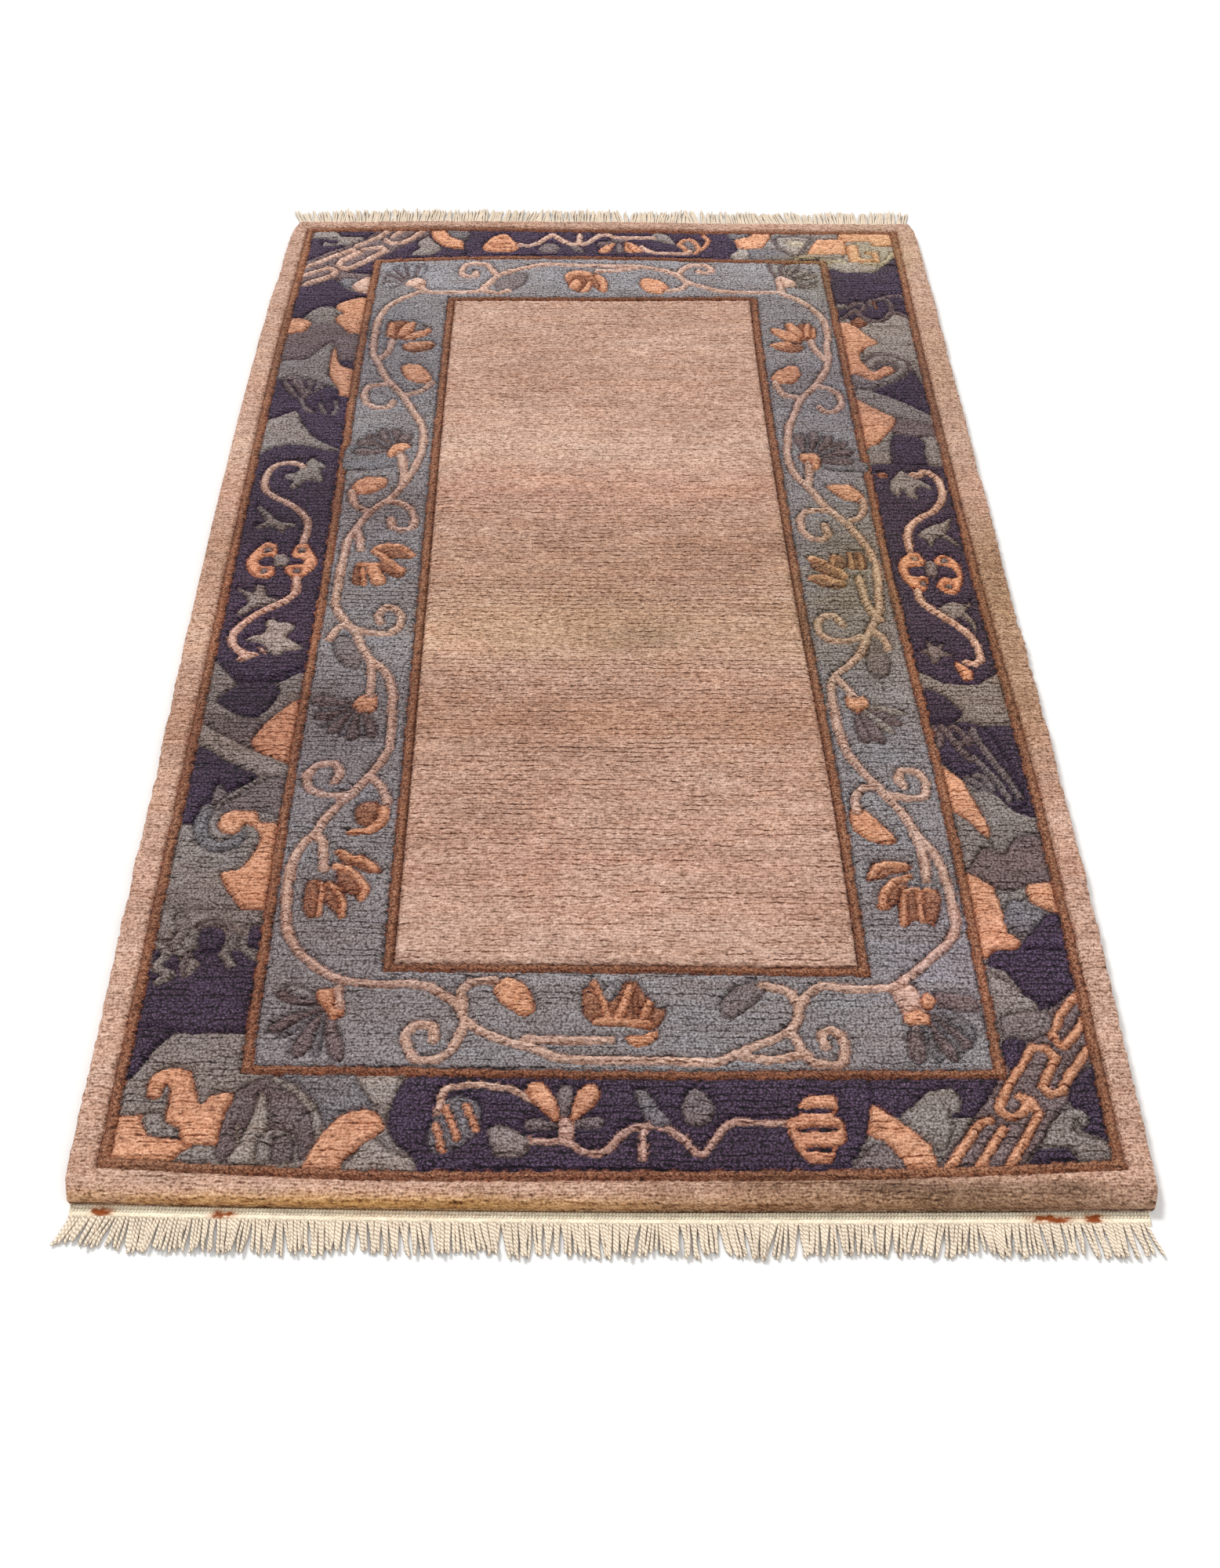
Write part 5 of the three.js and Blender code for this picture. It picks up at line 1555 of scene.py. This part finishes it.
def strand_tree():
    """Sets a lumpy strand at every point and lets it stray a little."""
    tree = bpy.data.node_groups.new("loose strands", "GeometryNodeTree")
    face = tree.interface
    face.new_socket("Geometry", in_out="INPUT", socket_type="NodeSocketGeometry")
    for name in ("Radius", "Stray"):
        face.new_socket(name, in_out="INPUT", socket_type="NodeSocketFloat")
    face.new_socket("Yarn", in_out="INPUT", socket_type="NodeSocketMaterial")
    face.new_socket("Geometry", in_out="OUTPUT", socket_type="NodeSocketGeometry")
    plan = Plan(tree)
    given = plan.add("NodeGroupInput").socket.node.outputs
    roots, radius, stray, yarn = (Wire(plan, given[k]) for k in range(4))
    straight = plan.add("GeometryNodeCurvePrimitiveLine", None, {"Start": (0, 0, 0), "End": (0, -1, 0)})
    core = plan.add("GeometryNodeResampleCurve", None, {"Curve": straight, "Count": STRAND["rings"]})
    share = plan.add("GeometryNodeSplineParameter", output="Factor")
    marked = plan.add(
        "GeometryNodeStoreNamedAttribute",
        {"data_type": "FLOAT", "domain": "POINT"},
        {"Geometry": core, "Name": "run", "Value": share},
    )
    # A strand swells a little towards its end and closes in at the tip.
    knob = 1 + KNOB["swell"] * share**3 - KNOB["close"] * share**14
    thin = plan.add("GeometryNodeSetCurveRadius", None, {"Curve": marked, "Radius": knob})
    round_yarn = plan.add(
        "GeometryNodeCurvePrimitiveCircle", None, {"Resolution": STRAND["sides"], "Radius": radius}
    )
    strand = plan.add(
        "GeometryNodeCurveToMesh",
        None,
        {"Curve": thin, "Profile Curve": round_yarn, "Scale": knob, "Fill Caps": True},
    )

    def carried(name):
        return plan.add("GeometryNodeInputNamedAttribute", {"data_type": "FLOAT"}, {"Name": name})

    size = plan.joined(X=carried("girth"), Y=carried("long"), Z=1.0)
    set_out = plan.add(
        "GeometryNodeInstanceOnPoints",
        None,
        {"Points": roots, "Instance": strand, "Rotation": plan.joined(Z=carried("aim")), "Scale": size},
    )
    real = plan.add("GeometryNodeRealizeInstances", None, {"Geometry": set_out})
    sway = plan.add(
        "ShaderNodeTexNoise",
        {"noise_dimensions": "4D"},
        {
            "Vector": plan.add("GeometryNodeInputPosition"),
            "W": carried("phase"),
            "Scale": 55.0,
            "Detail": 1.0,
        },
    )
    drift = (sway - 0.5) * stray * carried("run") ** 1.3
    aside = plan.joined(X=drift, Z=carried("rise") * carried("run"))
    laid = plan.add("GeometryNodeSetPosition", None, {"Geometry": real, "Offset": aside})
    soft = plan.add("GeometryNodeSetShadeSmooth", None, {"Geometry": laid})
    spun = plan.add("GeometryNodeSetMaterial", None, {"Geometry": soft, "Material": yarn})
    plan.add("NodeGroupOutput", None, {"Geometry": spun})
    return tree


def lay_fringe(end, tree, yarn):
    """The warp's loose ends, twisted in pairs, on the floor past a heading."""
    out, left, right = end_span(end, STRAND["inset"])
    rng = np.random.default_rng(71 if out < 0 else 72)
    u = np.arange(left, right, STRAND["pitch"])
    u = u + rng.uniform(-1, 1, len(u)) * LOOSE["aside"]
    start = HEADING["gap"] + HEADING["wide"] - STRAND["under"]
    x, y = placed(u, rail(ALONG, "across", "edge" + end, u) + out * start)
    lean = clouds("strand lean", u, u * 0) + rng.normal(0, LOOSE["lean"], len(u))
    # The last strands at each corner splay outwards.
    lean -= SPLAY["left"] * np.exp((left - u) / SPLAY["leftWide"])
    lean += SPLAY["right"] * np.exp((u - right) / SPLAY["rightWide"])
    reach = 1 + LOOSE["reach"] * rng.uniform(-1, 1, len(u)) + clouds("strand reach", u, u * 0)
    radius = STRAND["radius"]
    mesh = bpy.data.meshes.new("warp ends")
    z = np.full_like(x, STRAND["thickest"] * radius)
    mesh.from_pydata((np.stack([x, y, z], 1) * MM).tolist(), [], [])
    given = {
        "aim": lean if out < 0 else math.pi - lean,
        "long": STRAND[end] * reach * MM,
        "girth": rng.uniform(LOOSE["thin"], STRAND["thickest"], len(u)),
        "phase": rng.uniform(0, 60, len(u)),
        "rise": np.where(rng.uniform(size=len(u)) < LOOSE["lifted"], rng.uniform(1, 3, len(u)), 0) * MM,
    }
    for name, values in given.items():
        mesh.attributes.new(name, "FLOAT", "POINT").data.foreach_set("value", values.astype(np.float32))
    piece = put("strands_" + end.lower(), mesh)
    spin = piece.modifiers.new("spin", "NODES")
    spin.node_group = tree
    sizes = {"Radius": radius * MM, "Stray": STRAND["stray"] * MM, "Yarn": yarn}
    for socket in tree.interface.items_tree:
        if socket.name in sizes:
            spin[socket.identifier] = sizes[socket.name]
    graph = bpy.context.evaluated_depsgraph_get()
    made = bpy.data.meshes.new_from_object(piece.evaluated_get(graph))
    piece.modifiers.clear()
    piece.data = made
    return piece


def light(name, source, spread, power):
    """Soft, even light that comes from one side."""
    lamp = bpy.data.lights.new(name, "SUN")
    lamp.angle = math.radians(spread)
    lamp.energy = power
    put(name, lamp).matrix_world = Vector(source).to_track_quat("Z", "Y").to_matrix().to_4x4()


pile_wool = wool("pile wool", tuft=2.6, depth=1.3, gaps=1.0, ribbed=True)
back_wool = wool("knot backs", tuft=2.6, depth=0.6, gaps=0.6, ribbed=True)
band_yarn = wool("heading yarn", tuft=1.6, depth=0.2, gaps=0.35)
warp_yarn = twisted("warp yarn", linear(*WARP_CREAM), STRAND["turn"])

pile = lay_pile(pile_wool)
cloth = lay_cloth(back_wool)
headings = {end: lay_heading(end, band_yarn) for end in ("Front", "Back")}
tree = strand_tree()
strands = {end: lay_fringe(end, tree, warp_yarn) for end in ("Front", "Back")}

floor = put("floor", bpy.data.meshes.new("floor"))
reach = FLOOR["half"]
floor_corners = [(-reach, -reach, 0), (reach, -reach, 0), (reach, reach, 0), (-reach, reach, 0)]
floor.data.from_pydata(floor_corners, [], [(0, 1, 2, 3)])
pale, plan = painted("pale floor")
plan.surface(**{"Base Color": FLOOR["colour"], "Roughness": 0.9})
floor.data.materials.append(pale)

for piece in [*pile, cloth]:
    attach(piece, "root")
    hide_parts("pile")
for end in ("Front", "Back"):
    node = "fringe_" + end.lower()
    for piece in (headings[end], strands[end]):
        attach(piece, "root")
        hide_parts(node)

world = bpy.data.worlds.new("soft room")
world.use_nodes = True
world.node_tree.nodes["Background"].inputs["Color"].default_value = (1, 1, 1, 1)
world.node_tree.nodes["Background"].inputs["Strength"].default_value = ROOM_LIGHT
bpy.context.scene.world = world
for lamp in LAMPS:
    light(**lamp)
bpy.context.scene.view_settings.view_transform = "Standard"

lens = bpy.data.cameras.new("camera")
lens.sensor_width = CAMERA["sensor"]
lens.lens = CAMERA["lens"]
camera = put("camera", lens)
turn, tip, roll = (
    Matrix.Rotation(math.radians(CAMERA[way]), 4, axis)
    for way, axis in (("turn", "Z"), ("tip", "X"), ("roll", "Z"))
)
camera.matrix_world = Matrix.Translation(CAMERA["place"]) @ turn @ tip @ roll
bpy.context.scene.camera = camera
